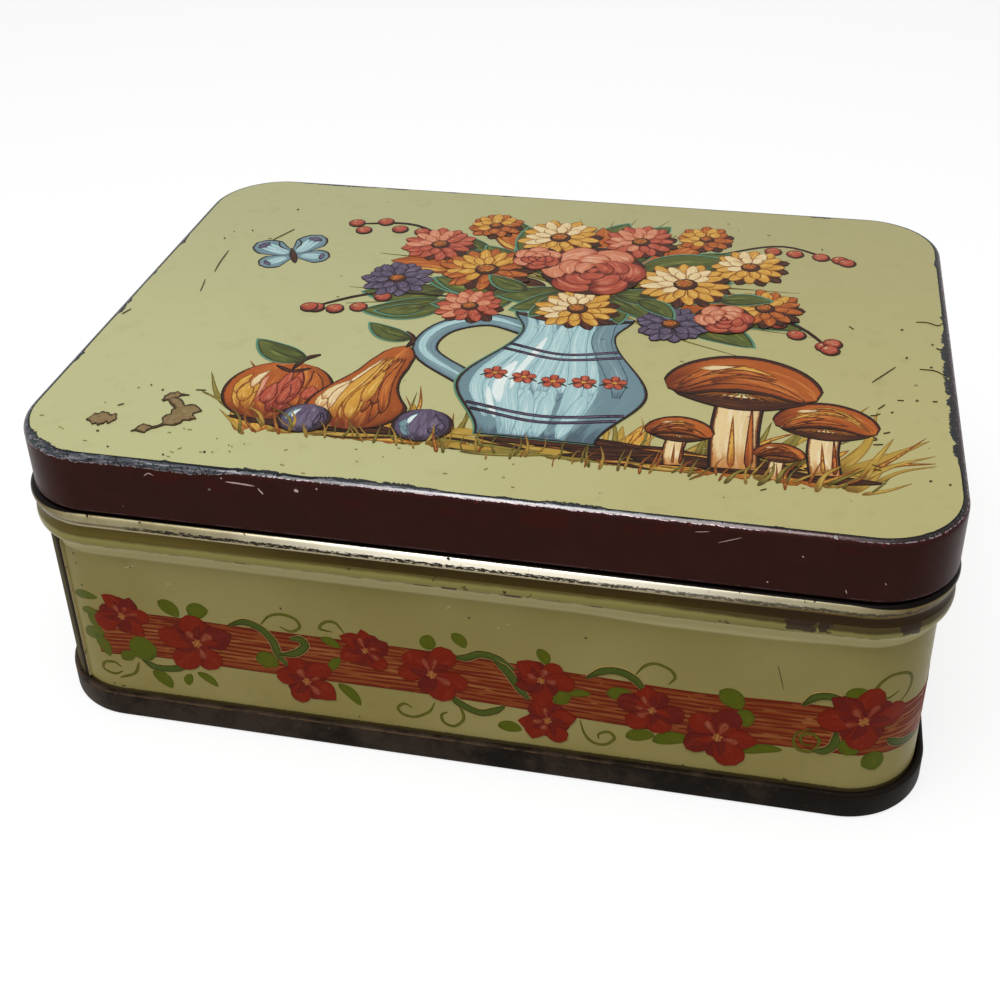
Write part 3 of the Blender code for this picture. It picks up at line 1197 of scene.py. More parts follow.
@dataclass
class Flakes:
    """The strokes of one ink on one surface, as one piece of thin closed flakes.

    Attributes:
        name: The piece's name.
        ink: The ink.
        body: The body that it rides on.
        slot: The record's material slot.
        surface: Gives the point for a place and a lift, in millimetres.
        seed: Start of the strokes' own random values.
        layer: Thickness of one layer.
        base: How far the first layer stands off the surface.
        root: How far a flake reaches into the sheet below.
    """

    name: str
    ink: Ink
    body: Body
    slot: Slot
    surface: Surface
    seed: int = 1
    layer: float = 0.004
    base: float = 0.016
    root: float = 0.01

    def build(self, strokes: Iterable[Stroke]) -> bpy.types.Object:
        """Makes the piece from its strokes."""
        draw = random.Random(self.seed)
        corners: list[Vector] = []
        values: list[float] = []
        halves: list[float] = []
        faces: list[tuple[int, ...]] = []
        for stroke in strokes:
            rows, start, seed = stroke.grid(), len(corners), draw.random()
            lift = self.base + stroke.level * self.layer
            long, wide = len(rows), len(rows[0])
            for height in (lift, -self.root):
                for row in rows:
                    half = math.dist(row[0][:2], row[-1][:2]) / 2
                    for x, y, along, across in row:
                        corners.append(self.surface(x, y, height))
                        values += (along, across, seed)
                        halves.append(half)
            below = start + long * wide
            for i in range(long - 1):
                for j in range(wide - 1):
                    a, b = i * wide + j, (i + 1) * wide + j
                    faces.append((start + a, start + b, start + b + 1, start + a + 1))
                    faces.append((below + a, below + a + 1, below + b + 1, below + b))
            edge = [(i, 0) for i in range(long)]
            edge += [(long - 1, j) for j in range(1, wide)]
            edge += [(i, wide - 1) for i in range(long - 2, -1, -1)]
            edge += [(0, j) for j in range(wide - 2, 0, -1)]
            for (i, j), (k, m) in zip(edge, edge[1:] + edge[:1]):
                a, b = i * wide + j, k * wide + m
                faces.append((start + a, below + a, below + b, start + b))
        return make_piece(self.name, corners, faces, [self.ink.material()], self.body, self.slot,
                          stroke=values, half=halves)


@dataclass
class LockSeam:
    """The folded seam that closes the wall strip, a flat strip at the front left corner.

    Attributes:
        shape: The tin's sizes.
        centre: Its place along the wall.
        width: Its width.
        proud: How far it stands off the wall.
        foot: Height of its lower end.
        sink: How far its edges reach into the wall.
    """

    shape: TinShape
    centre: float = -61.75
    width: float = 5.0
    proud: float = 0.5
    foot: float = 4.5
    sink: float = 0.06

    def build(self, finish: bpy.types.Material) -> bpy.types.Object:
        """Makes the seam.

        Args:
            finish: Its finish.

        Returns:
            The piece, riding on the tin.
        """
        top_face = [(across, self.proud) for across in (-0.12, 0.0, 0.2, 0.4)]
        profile = [(-0.5, -self.sink), (-0.5, 0.12), (-0.46, 0.24), (-0.4, 0.27), (-0.3, 0.27),
                   (-0.24, 0.3), (-0.19, 0.46), *top_face, (0.46, 0.47), (0.5, 0.36), (0.5, -self.sink)]
        top = self.shape.wall_top + 0.35
        rows = [(self.foot, 1.0), (self.foot + 0.1, 1.0), (top - 1.6, 1.0), (top - 0.7, 0.9), (top, 0.45)]
        corners, faces, values, count = [], [], [], len(profile)
        for height, share in rows:
            for across, lift in profile:
                values += (across, lift, 0.0)
                place = self.shape.outline.at(self.centre + across * self.width, self.shape.neck,
                                              lift * share if lift > 0 else lift)
                corners.append((place.x, place.y, height))
        for row in range(len(rows) - 1):
            for column in range(count):
                after = (column + 1) % count
                low, high = row * count, (row + 1) * count
                faces.append((low + column, low + after, high + after, high + column))
        faces += [tuple(range(count))[::-1], tuple(range((len(rows) - 1) * count, len(rows) * count))]
        return make_piece("lock_seam", corners, faces, [finish], Body.TIN, Slot.WALL, strip=values)


@dataclass
class Painter:
    """Collects strokes by ink, each on the first layer above those that it crosses.

    Attributes:
        shape: The tin's sizes.
        seed: Start of the small random differences.
        strokes: The strokes of each ink.
        tops: The highest layer in each square millimetre.
    """

    shape: TinShape
    seed: int = 1
    strokes: dict[Ink, list[Stroke]] = field(default_factory=dict, init=False)
    tops: dict[tuple[int, int], int] = field(default_factory=dict, init=False)

    @cached_property
    def dice(self) -> random.Random:
        """Source of the small differences."""
        return random.Random(self.seed)

    def vary(self, low: float, high: float) -> float:
        """A random number between two."""
        return self.dice.uniform(low, high)

    def pick(self, choices: Sequence) -> object:
        """A random one of several choices."""
        return self.dice.choice(choices)

    def draw(self, ink: Ink, stroke: Stroke) -> None:
        """Adds a stroke above all that it crosses."""
        cells = self.cells(stroke)
        stroke.level = max((self.tops.get(cell, -1) for cell in cells), default=-1) + 1
        self.tops.update(dict.fromkeys(cells, stroke.level))
        self.strokes.setdefault(ink, []).append(stroke)

    @staticmethod
    def cells(stroke: Stroke) -> set[tuple[int, int]]:
        """The squares of a millimetre grid that a stroke touches."""
        grid, found = stroke.grid(), set()
        for row, after in zip(grid, grid[1:]):
            for corners in zip(row, row[1:], after, after[1:]):
                xs, ys = [corner[0] for corner in corners], [corner[1] for corner in corners]
                found.update((x, y) for x in range(math.floor(min(xs)), math.floor(max(xs)) + 1)
                             for y in range(math.floor(min(ys)), math.floor(max(ys)) + 1))
        return found

    def ray(self, ink: Ink, place: Place, angle: float, length: float, width: float, shape: Shape,
            bend: float = 0.0, start: float = 0.0, steps: int = 6) -> None:
        """Draws a stroke outwards from a place.

        Args:
            ink: The ink.
            place: Where the stroke's ray starts.
            angle: Its direction, in degrees.
            length: Where it ends, from the place.
            width: Its full width.
            shape: Its width along it.
            bend: How far its middle bows to the left, as a share of its length.
            start: Where it starts, from the place.
            steps: Steps between two points of the spine.
        """
        middle = polar(place, angle, (start + length) / 2)
        spine = [polar(place, angle, start), polar(middle, angle + 90, bend * (length - start)),
                 polar(place, angle, length)]
        self.draw(ink, Stroke(spine, width, shape, steps))

    def blot(self, ink: Ink, centre: Place, length: float, width: float, angle: float = 0.0,
             shape: Shape = round_shape, bend: float = 0.0) -> None:
        """Draws a stroke centred on a place, such as a disc or a leaf."""
        self.ray(ink, polar(centre, angle, -length / 2), angle, length, width, shape, bend)

    def line(self, ink: Ink, spine: Sequence[Place], width: float, shape: Shape = curl_shape,
             steps: int = 6) -> None:
        """Draws a stroke through points."""
        self.draw(ink, Stroke(spine, width, shape, steps, 2 if width < 1 else 4))

    def pieces(self, name: str, body: Body, slot: Slot, surface: Surface, layer: float = 0.004,
               base: float = 0.016) -> None:
        """Makes one piece for each ink.

        Args:
            name: Start of the pieces' names.
            body: The body that they ride on.
            slot: The record's material slot.
            surface: Gives the point for a place and a lift.
            layer: Thickness of one layer.
            base: How far the first layer stands off the surface.
        """
        for number, (ink, strokes) in enumerate(self.strokes.items()):
            Flakes(f"{name}_{ink.name}", ink, body, slot, surface, number + 1, layer, base).build(strokes)


@dataclass
class Garland(Painter):
    """The garland printed round the wall: a ribbed ribbon with flowers, leaves and tendrils.

    Places are (along, height) on the wall. The print repeats after half the way round.

    Attributes:
        flowers: Place, radius and the angles of the five petals.
        leaves: Place, length, width and angle.
        arms: Spines of the broad stalks.
        tendrils: Spines of the fine curls.
        band: The ribbon's middle line.
        band_width: The ribbon's width.
        seam_along: Place of the lock seam.
    """

    seed: int = 11
    band_width: float = 8.3
    seam_along: float = -61.75
    band: tuple[Place, ...] = (
        (-55.8, 15.2), (-45.0, 15.9), (-30.0, 15.7), (-8.0, 15.8), (4.0, 15.6), (20.0, 15.0),
        (34.0, 14.6), (47.0, 15.1), (58.0, 14.9), (68.0, 14.3), (82.0, 15.6), (97.0, 15.4),
        (112.0, 14.6), (127.0, 15.2), (140.0, 15.6),
    )
    flowers: tuple[tuple[Place, float, tuple[float, ...]], ...] = (
        ((-50.7, 19.0), 5.4, (125, 65, 5, -50, -150)),
        ((-39.4, 15.6), 6.7, (100, 25, -60, -130, 165)),
        ((-23.0, 11.0), 5.9, (110, 40, -35, -105, 180)),
        ((-13.7, 18.5), 4.9, (95, 30, -45, -150, 150)),
        ((-4.1, 15.6), 6.3, (125, 60, -18, -75, 190)),
        ((12.5, 9.8), 5.4, (95, 190, 240, -50, 15)),
        ((11.6, 17.2), 5.2, (140, 50, -8, -90, 200)),
        ((27.1, 14.4), 5.5, (100, 165, 220, 290, 5)),
        ((36.2, 11.0), 6.5, (125, 60, 0, -60, 215)),
        ((55.2, 17.2), 6.8, (75, 140, 185, 270, 20)),
        ((76.5, 12.2), 5.6, (110, 40, -30, -105, 185)),
        ((87.0, 17.6), 6.3, (95, 20, -55, -130, 165)),
        ((100.5, 12.4), 5.5, (125, 60, -10, -80, 200)),
        ((112.0, 17.0), 6.4, (75, 145, 190, 270, 15)),
        ((125.5, 11.4), 5.8, (100, 35, -45, -120, 170)),
        ((137.5, 17.8), 5.3, (120, 55, -10, -85, 200)),
    )
    leaves: tuple[tuple[Place, float, float, float], ...] = (
        ((-43.1, 21.5), 3.9, 2.5, -42), ((-38.5, 21.6), 3.5, 2.9, 22), ((-47.9, 13.3), 4.9, 4.4, 105),
        ((-50.8, 11.2), 2.8, 2.0, 30), ((-46.0, 7.4), 4.1, 2.3, -48), ((-41.6, 8.1), 2.5, 1.4, 70),
        ((-38.7, 8.6), 3.8, 1.5, -38), ((-28.8, 13.9), 3.6, 3.1, -15), ((-56.4, 21.4), 4.8, 1.6, 12),
        ((-56.0, 18.6), 3.4, 1.5, 10), ((-55.6, 16.9), 3.2, 2.1, -60), ((-56.0, 14.4), 4.2, 2.3, 20),
        ((-54.9, 12.6), 4.2, 2.2, -64), ((-18.8, 19.0), 3.2, 1.5, -26),
        ((-18.3, 15.1), 3.2, 1.5, 58), ((-16.7, 9.5), 4.9, 1.8, -50), ((-4.2, 21.5), 2.8, 2.4, 85),
        ((0.0, 22.5), 3.0, 1.9, -52), ((11.8, 21.5), 3.0, 1.8, -66), ((7.0, 7.3), 3.6, 2.1, -4),
        ((14.6, 14.3), 3.0, 2.6, 40), ((17.0, 15.5), 3.4, 1.3, 12), ((22.7, 16.3), 4.0, 2.4, -4),
        ((25.6, 9.1), 4.2, 2.3, 14), ((30.0, 9.2), 5.6, 2.4, 14), ((37.6, 18.2), 4.2, 3.1, -42),
        ((39.5, 15.2), 3.3, 2.5, -75), ((42.3, 9.5), 5.8, 1.7, 14), ((54.1, 21.5), 3.3, 2.9, 45),
        ((54.2, 12.3), 3.8, 3.1, 35), ((57.0, 9.5), 3.6, 3.3, -62), ((59.8, 16.9), 3.8, 1.7, 44),
        ((71.0, 18.8), 3.6, 2.4, 20), ((81.0, 21.6), 3.4, 2.4, -50), ((83.0, 10.6), 4.4, 2.2, -30),
        ((93.5, 20.6), 3.6, 1.8, 30), ((95.0, 13.6), 3.4, 3.0, 80), ((106.5, 9.4), 4.6, 2.0, 15),
        ((105.5, 20.4), 3.2, 2.4, -40), ((118.6, 21.0), 3.4, 2.0, 25), ((119.5, 12.6), 4.0, 2.8, -60),
        ((131.0, 8.6), 4.2, 2.0, -20), ((131.5, 19.6), 3.2, 2.2, 60), ((143.5, 12.6), 4.0, 2.6, -35),
    )
    arms: tuple[tuple[Place, ...], ...] = (
        ((-48.7, 10.9), (-46.7, 9.7), (-43.8, 9.9), (-41.3, 10.9)),
        ((-34.0, 19.9), (-31.6, 20.9), (-29.1, 20.0), (-27.5, 17.9), (-26.9, 15.5), (-25.7, 13.6)),
        ((-26.9, 15.5), (-24.3, 16.2), (-22.7, 17.8), (-23.3, 19.0), (-24.9, 18.8)),
        ((-0.8, 19.4), (1.0, 19.6), (3.1, 20.6), (5.5, 20.1), (7.8, 18.4)),
        ((-1.7, 12.4), (-0.3, 10.8), (2.6, 9.5), (4.8, 10.2), (6.3, 11.3)),
        ((5.0, 19.8), (6.8, 18.1), (8.2, 15.7), (9.8, 13.3)),
        ((17.9, 18.8), (20.2, 20.4), (22.5, 20.7), (24.6, 19.6), (26.2, 17.4)),
        ((47.0, 18.9), (48.6, 20.6), (50.4, 21.1), (52.0, 20.6), (53.6, 19.6)),
        ((51.8, 14.9), (51.8, 12.7), (50.7, 11.2), (49.1, 10.9)),
        ((59.0, 13.2), (61.2, 11.7), (65.5, 10.6)),
        ((79.0, 19.8), (81.5, 20.6), (84.0, 19.4), (86.0, 17.2)),
        ((104.0, 11.0), (107.0, 12.6), (109.5, 12.0), (111.0, 14.0)),
        ((128.0, 17.0), (130.5, 17.6), (133.0, 20.0), (136.0, 20.0)),
    )
    tendrils: tuple[tuple[Place, ...], ...] = (
        ((-29.2, 20.6), (-27.6, 22.6), (-25.6, 23.2), (-23.7, 22.6), (-23.2, 21.2), (-24.6, 20.2),
         (-26.2, 20.9)),
        ((-53.0, 6.6), (-50.4, 7.9), (-49.4, 10.2)),
        ((-52.4, 7.9), (-53.9, 7.2), (-55.7, 7.7), (-55.2, 9.1), (-53.5, 9.6), (-52.5, 8.8)),
        ((-18.4, 21.1), (-20.2, 21.5), (-19.3, 22.8), (-17.8, 22.9), (-16.6, 21.2)),
        ((-7.3, 8.6), (-8.5, 9.2), (-9.5, 8.1), (-8.6, 7.0), (-6.9, 6.9), (-4.8, 8.3), (-3.9, 10.2)),
        ((-2.1, 8.7), (-3.0, 8.0), (-2.7, 6.6), (-1.2, 6.1), (0.2, 7.6), (0.0, 9.5), (-1.0, 11.0)),
        ((24.7, 20.5), (25.8, 22.2), (27.3, 22.9), (29.2, 22.2), (30.0, 20.9), (29.2, 19.5)),
        ((17.1, 10.6), (17.8, 8.1), (19.0, 6.7), (20.7, 6.6), (22.0, 8.0), (21.2, 9.1), (19.8, 8.5),
         (19.8, 7.5)),
        ((59.7, 21.7), (58.0, 20.9), (56.5, 21.6), (56.4, 23.3), (58.1, 24.9), (60.7, 24.5),
         (61.8, 22.8), (61.3, 20.8), (60.0, 19.5)),
        ((49.1, 11.8), (47.7, 11.9), (47.3, 13.2), (48.6, 14.0), (49.8, 12.8), (49.0, 10.8),
         (47.2, 10.8), (46.4, 12.2), (46.9, 13.9), (48.6, 14.8)),
        ((72.0, 9.8), (73.0, 7.6), (75.0, 6.6), (77.0, 7.4), (76.6, 9.0), (75.0, 8.8)),
        ((90.0, 21.4), (91.0, 23.4), (93.4, 24.0), (95.2, 22.8), (94.4, 21.2)),
        ((108.0, 8.6), (110.5, 6.8), (113.0, 7.2), (113.6, 9.0), (112.0, 9.8), (111.0, 8.8)),
        ((122.0, 20.4), (123.0, 22.6), (125.4, 23.4), (127.4, 22.4), (127.0, 20.8), (125.4, 20.8)),
        ((138.0, 10.6), (139.6, 8.0), (142.0, 7.4), (143.4, 8.8), (142.2, 10.0)),
    )

    ribbon: Ink = Ink("ribbon_ink", (168, 82, 38), (204, 136, 76), (118, 44, 22), (168, 82, 38),
                      0.26, 0.75, 12.0, 0.0, run=42.0)
    streak: Ink = Ink("streak_ink", (134, 46, 22), (150, 60, 30), (134, 46, 22), (134, 46, 22),
                      0.05, 0.5, 2.0, 0.0)
    petal: Ink = Ink("petal_ink", (156, 44, 18), (172, 62, 36), (122, 34, 20), (142, 48, 34),
                     0.08, 0.5, 3.0, 0.35, 0.2)
    wine: Ink = Ink("wine_ink", (130, 38, 26), (152, 52, 38), (104, 26, 24), (112, 34, 36),
                    0.08, 0.5, 3.0, 0.35, 0.2)
    blush: Ink = Ink("blush_ink", (176, 84, 58), (204, 122, 88), (152, 52, 32), (188, 104, 66),
                     0.30, 0.6, 2.0, 0.1)
    halo: Ink = Ink("halo_ink", (196, 168, 104), (206, 180, 116), (190, 160, 98), (196, 168, 104),
                    0.1, 0.5, 2.0, 0.0)
    green: Ink = Ink("leaf_ink", (108, 116, 22), (124, 128, 30), (94, 100, 24), (88, 98, 24),
                     0.12, 0.45, 2.5, 0.2, 0.1)
    stalk: Ink = Ink("stalk_ink", (92, 108, 36), (112, 118, 54), (60, 62, 20), (80, 90, 26),
                     0.16, 0.5, 2.0, 0.25, 0.25)
    curl: Ink = Ink("tendril_ink", (124, 122, 36), (142, 136, 48), (98, 94, 20), (100, 108, 24),
                    0.12, 0.4, 2.0, 0.3)
    pollen: Ink = Ink("pollen_ink", (206, 138, 66), (226, 172, 92), (178, 92, 58), (206, 138, 66),
                      0.16, 0.5, 2.0, 0.0)

    def build(self) -> None:
        """Draws the garland all round the wall."""
        outline = self.shape.outline
        period = 2 * (outline.across + outline.deep + outline.turn(self.shape.neck))
        seam = self.seam_along + period
        line = [*self.band, (seam + 1.0, 15.3), *((s + period, z) for s, z in self.band[1:])]
        line.append((seam + period - 2.6, 15.1))
        self.draw(self.ribbon, Stroke(line, self.band_width, band_shape, 12, 6))
        self.ribs(line)
        for shift in (0.0, period):
            for spine in self.tendrils:
                self.line(self.curl, [(s + shift, z) for s, z in spine], 0.46)
            for spine in self.arms:
                moved = [(s + shift, z) for s, z in spine]
                self.line(self.halo, moved, 1.45)
                self.line(self.stalk, moved, 1.25)
            for (s, z), length, width, angle in self.leaves:
                self.blot(self.green, (s + shift, z), length, width, angle, oval_shape, 0.08)
            for (s, z), radius, angles in self.flowers:
                self.flower((s + shift, z), radius * 0.86, angles)
        self.pieces("garland", Body.TIN, Slot.WALL, self.shape.on_wall)

    def ribs(self, line: Sequence[Place]) -> None:
        """Draws the ribbon's broken dark ribs along its middle line."""
        xs, zs = zip(*smooth(line, 6))
        for rib in range(11):
            level = self.band_width * (rib / 10 - 0.5) * 0.90
            place = xs[0] + self.vary(0.5, 4)
            while place < xs[-1] - 14:
                length = self.vary(4, 13)
                drift = self.vary(-0.16, 0.16)
                steps = [place + length * share for share in (0, 0.33, 0.67, 1)]
                spine = [(s, float(np.interp(s, xs, zs)) + level + drift + self.vary(-0.10, 0.10))
                         for s in steps]
                self.line(self.streak, spine, self.vary(0.24, 0.48), curl_shape, 4)
                place += length + self.vary(-0.5, 2.2)

    def flower(self, centre: Place, radius: float, angles: Sequence[float]) -> None:
        """Draws one flower: dark petals behind, five in front, pink patches and the middle.

        Args:
            centre: The flower's middle.
            radius: Its radius.
            angles: Directions of the five petals, in degrees.
        """
        for turn in (-34, 38):
            self.ray(self.wine, centre, angles[0] + turn, radius * 0.78, radius * 0.55, lobe_shape)
            self.ray(self.wine, centre, angles[3] + turn, radius * 0.70, radius * 0.50, lobe_shape)
        for number, angle in enumerate(angles):
            inks = (self.petal, self.wine)
            if number in (1, 4) and self.vary(0, 1) < 0.6:
                inks = (self.wine, self.petal)
            length, width = radius * self.vary(0.88, 1.08), radius * self.vary(0.60, 0.80)
            shape = self.pick((lobe_shape, petal_shape, point_shape))
            self.ray(inks[0], centre, angle, length, width, shape, self.vary(-0.14, 0.14))
            self.ray(inks[1], centre, angle - 22, radius * 0.62, radius * 0.24, leaf_shape, 0.1)
        for angle in angles[:3]:
            self.ray(self.blush, centre, angle + self.vary(-20, 20), radius * self.vary(0.42, 0.62),
                     radius * self.vary(0.18, 0.30), lobe_shape, 0.05, radius * 0.14)
        for turn in (0, 70, 140):
            self.blot(self.pollen, centre, radius * 0.30, radius * 0.13, angles[0] + turn)


def eased(share: float, knots: Sequence[Place]) -> float:
    """A value that runs smoothly from knot to knot, level at each.

    Args:
        share: Where, 0 to 1.
        knots: Places with their values.

    Returns:
        The value there.
    """
    for (low, before), (high, after) in zip(knots, knots[1:]):
        if share <= high:
            t = (share - low) / (high - low)
            return before + (after - before) * t * t * (3 - 2 * t)
    return knots[-1][1]


def jug_shape(share: float) -> float:
    """A jug from foot to lip."""
    return eased(share, ((0, 0.60), (0.38, 1.0), (0.84, 0.52), (1.0, 0.68)))


def pear_shape(share: float) -> float:
    """A pear from its flower end to its stalk."""
    bulge = math.sqrt(1 - ((0.32 - share) / 0.32) ** 2) if share < 0.32 else 1.0
    return bulge * eased(share, ((0, 1.0), (0.32, 1.0), (0.76, 0.46), (0.92, 0.36), (1.0, 0.0)))


def cap_shape(share: float) -> float:
    """A mushroom's cap from side to side."""
    return round_shape(share) ** 0.8


@dataclass
class Posy(Painter):
    """A generic country picture on the lid: a blue jug of autumn flowers, with fruit and mushrooms.

    Places are (x, y) on the lid's top, in millimetres from its middle. Each solid thing is a dark
    silhouette under curved strokes that follow its form, lighter towards the upper left.

    Attributes:
        jug_foot: Where the jug stands.
        jug_lip: Where it ends.
        jug_reach: Half its greatest width.
        jug_middle: Its middle line.
    """

    seed: int = 5
    jug_foot: float = -32.4
    jug_lip: float = 3.0
    jug_reach: float = 13.8
    jug_middle: float = 8.0
    dark: Ink = Ink("umber_print", (62, 34, 22), (112, 64, 38), (24, 16, 12),
                    (34, 22, 16), 0.25, 0.5, 4.0, 0.25)
    russet: Ink = Ink("russet_print", (172, 88, 38), (222, 146, 74), (66, 30, 18),
                      (112, 50, 26), 0.22, 0.6, 5.0, 0.35, 0.25)
    ochre: Ink = Ink("ochre_print", (206, 150, 58), (238, 208, 124), (118, 60, 26),
                     (156, 86, 34), 0.22, 0.6, 5.0, 0.35, 0.2)
    straw: Ink = Ink("straw_print", (228, 202, 148), (244, 232, 202), (136, 80, 42),
                     (192, 132, 72), 0.20, 0.6, 5.0, 0.35, 0.15)
    rose: Ink = Ink("rose_print", (176, 78, 56), (214, 140, 110), (88, 30, 22),
                     (110, 36, 26), 0.22, 0.6, 5.0, 0.35, 0.25)
    blush: Ink = Ink("blush_print", (208, 130, 96), (232, 190, 158), (146, 64, 42),
                     (168, 78, 52), 0.20, 0.6, 5.0, 0.35, 0.15)
    plum: Ink = Ink("plum_print", (90, 78, 98), (142, 130, 150), (36, 28, 38),
                    (50, 40, 52), 0.26, 0.5, 4.0, 0.3, 0.3)
    bloom: Ink = Ink("bloom_print", (104, 92, 114), (146, 136, 156), (82, 70, 90),
                     (64, 52, 68), 0.08, 0.5, 4.0, 0.3, 0.3)
    blue: Ink = Ink("blue_print", (164, 198, 200), (216, 232, 228), (110, 142, 152),
                    (134, 164, 172), 0.10, 0.65, 5.0, 0.1)
    milk: Ink = Ink("milk_print", (224, 236, 232), (240, 246, 242), (176, 202, 204),
                    (196, 216, 216), 0.08, 0.5, 4.0, 0.1)
    slate: Ink = Ink("slate_print", (112, 138, 146), (154, 180, 182), (62, 78, 90),
                     (80, 98, 108), 0.16, 0.6, 5.0, 0.12)
    grass: Ink = Ink("grass_print", (178, 144, 62), (208, 182, 102), (140, 108, 48),
                     (112, 82, 36), 0.14, 0.5, 2.0, 0.35)
    olive: Ink = Ink("olive_print", (134, 120, 52), (170, 158, 84), (92, 80, 36),
                     (80, 66, 30), 0.14, 0.5, 2.0, 0.35)
    green: Ink = Ink("green_print", (86, 94, 44), (136, 140, 72), (40, 42, 24),
                     (52, 50, 28), 0.22, 0.5, 4.0, 0.3, 0.45, 0.10)
    teal: Ink = Ink("teal_fringe", (84, 132, 108), (120, 156, 124), (110, 146, 116),
                    (84, 132, 108), 0.1, 0.3, 2.0, 0.0)

    def build(self) -> None:
        """Draws the picture from the back to the front."""
        self.ground()
        self.foliage()
        self.jug()
        self.blossoms()
        self.fruit()
        self.mushrooms()
        self.grass_blades(80, -37.0, 2.4, 5.6)
        self.butterfly((-43.0, 16.0), 25.0)
        self.pieces("lid", Body.LID, Slot.LID, self.shape.on_top, 0.0014, 0.008)

    def grass_blades(self, count: int, level: float, shortest: float, longest: float) -> None:
        """Draws blades of grass from a level line, leaning outwards.

        Args:
            count: Number of blades.
            level: Height of the line in the picture.
            shortest: Least length.
            longest: Greatest length.
        """
        for index in range(count):
            x = -33 + 86 * index / (count - 1) + self.vary(-1.5, 1.5)
            side = (x - 8) / 46
            angle = 90 - side * 44 + self.vary(-20, 20)
            reach = (61 - abs(x)) / max(0.1, math.cos(math.radians(angle)) * math.copysign(1, x))
            length = min(self.vary(shortest, longest) * (1 + 0.9 * abs(side) ** 3), reach)
            ink = self.pick((self.grass, self.grass, self.ochre, self.olive, self.olive))
            self.ray(ink, (x, level + self.vary(-1.2, 1.6)), angle, length,
                     length * self.vary(0.06, 0.13), taper_shape, self.vary(-0.14, 0.14))

    def ground(self) -> None:
        """Draws the dry grass and the earth that everything stands on."""
        for index in range(40):
            x = -32 + 82 * index / 39 + self.vary(-2, 2)
            self.ray(self.pick((self.grass, self.grass, self.ochre)), (x, -36.5), 98 - x * 0.9,
                     self.vary(5, 11), self.vary(2.4, 4.6), taper_shape, self.vary(-0.1, 0.1))
        self.grass_blades(96, -34.0, 5.0, 12.0)
        for index in range(64):
            x = self.vary(-33, 51)
            fade = 1 - (abs(x - 9) / 47) ** 3
            ink = self.pick((self.ochre, self.grass, self.olive, self.dark, self.dark))
            self.blot(ink, (x, -34.0 + self.vary(-2.2, 2.0) * fade), self.vary(5, 13) * fade + 2,
                      self.vary(0.7, 2.0), self.vary(-8, 8), leaf_shape, self.vary(-0.05, 0.05))

    def earth(self, count: int, xs: Place, ys: Place, lengths: Place, widest: float) -> None:
        """Draws flat dark blots of earth, each somewhere between the limits that are given."""
        for _ in range(count):
            place = (self.vary(*xs), self.vary(*ys))
            self.blot(self.dark, place, self.vary(*lengths), self.vary(1.2, widest), self.vary(-4, 4),
                      leaf_shape)

    def leaf(self, place: Place, angle: float, length: float, width: float) -> None:
        """Draws a leaf with a green fringe, starting at a place."""
        self.ray(self.teal, place, angle, length + 0.5, width + 0.5, leaf_shape, 0.08)
        self.ray(self.green, place, angle, length, width, leaf_shape, 0.08)

    def foliage(self) -> None:
        """Draws the leaves and the berries behind the flowers."""
        heart = (7.0, 12.0)
        for step in range(40):
            angle, far = self.vary(-20, 200), self.vary(4, 17)
            turn = math.radians(angle)
            place = (7 + far * 1.1 * math.cos(turn), 11 + far * 0.8 * math.sin(turn))
            self.ray(self.dark if step % 2
                     else self.green, place, angle + self.vary(-40, 40), self.vary(6, 10),
                     self.vary(2.6, 4.4), leaf_shape, 0.06)
        for ring, count, reach in ((0, 17, 1.0), (1, 13, 0.72)):
            for index in range(count):
                angle = -24 + 228 * index / (count - 1) + self.vary(-4, 4)
                wide = math.radians(angle)
                length = reach * 30 / math.hypot(math.cos(wide) * 0.86, math.sin(wide) * 1.18)
                length *= self.vary(0.92, 1.06)
                self.ray(self.olive, heart, angle + self.vary(-6, 6), length + 3, 0.8, taper_shape,
                         self.vary(-0.1, 0.1))
                root = polar(heart, angle, length - 13)
                if (index + ring) % 3 == 2:
                    self.ray(self.russet, root, angle, 13.0, 6.0, leaf_shape, -0.08)
                    self.ray(self.ochre, root, angle + 5, 9.5, 1.4, leaf_shape, 0.08, 2.0)
                else:
                    self.leaf(root, angle, 13.5, 6.4)
        for start, bend, tip in (((-14, 22), (-25, 31), (-36, 30)), ((28, 28), (39, 33), (49, 28)),
                                 ((-12, 6), (-25, 5), (-35, -2)), ((30, 5), (41, 6), (48, -2))):
            self.line(self.dark, (start, bend, tip), 0.6)
            for share in (0.45, 0.62, 0.8, 0.92, 1.0):
                x, y = (a * (1 - share) ** 2 + 2 * b * share * (1 - share) + c * share ** 2
                        for a, b, c in zip(start, bend, tip))
                x, y = x + self.vary(-1.2, 1.2), y - 0.4 + self.vary(-2.2, 2.2)
                self.blot(self.dark, (x + 0.15, y - 0.15), 3.1, 3.1, 40)
                self.blot(self.rose, (x, y), 2.7, 2.7, 40)
                self.blot(self.straw, (x - 0.5, y + 0.5), 1.0, 0.5, 40)

    def jug_half(self, height: float) -> float:
        """Half the jug's width at a height."""
        return self.jug_reach * jug_shape((height - self.jug_foot) / (self.jug_lip - self.jug_foot))

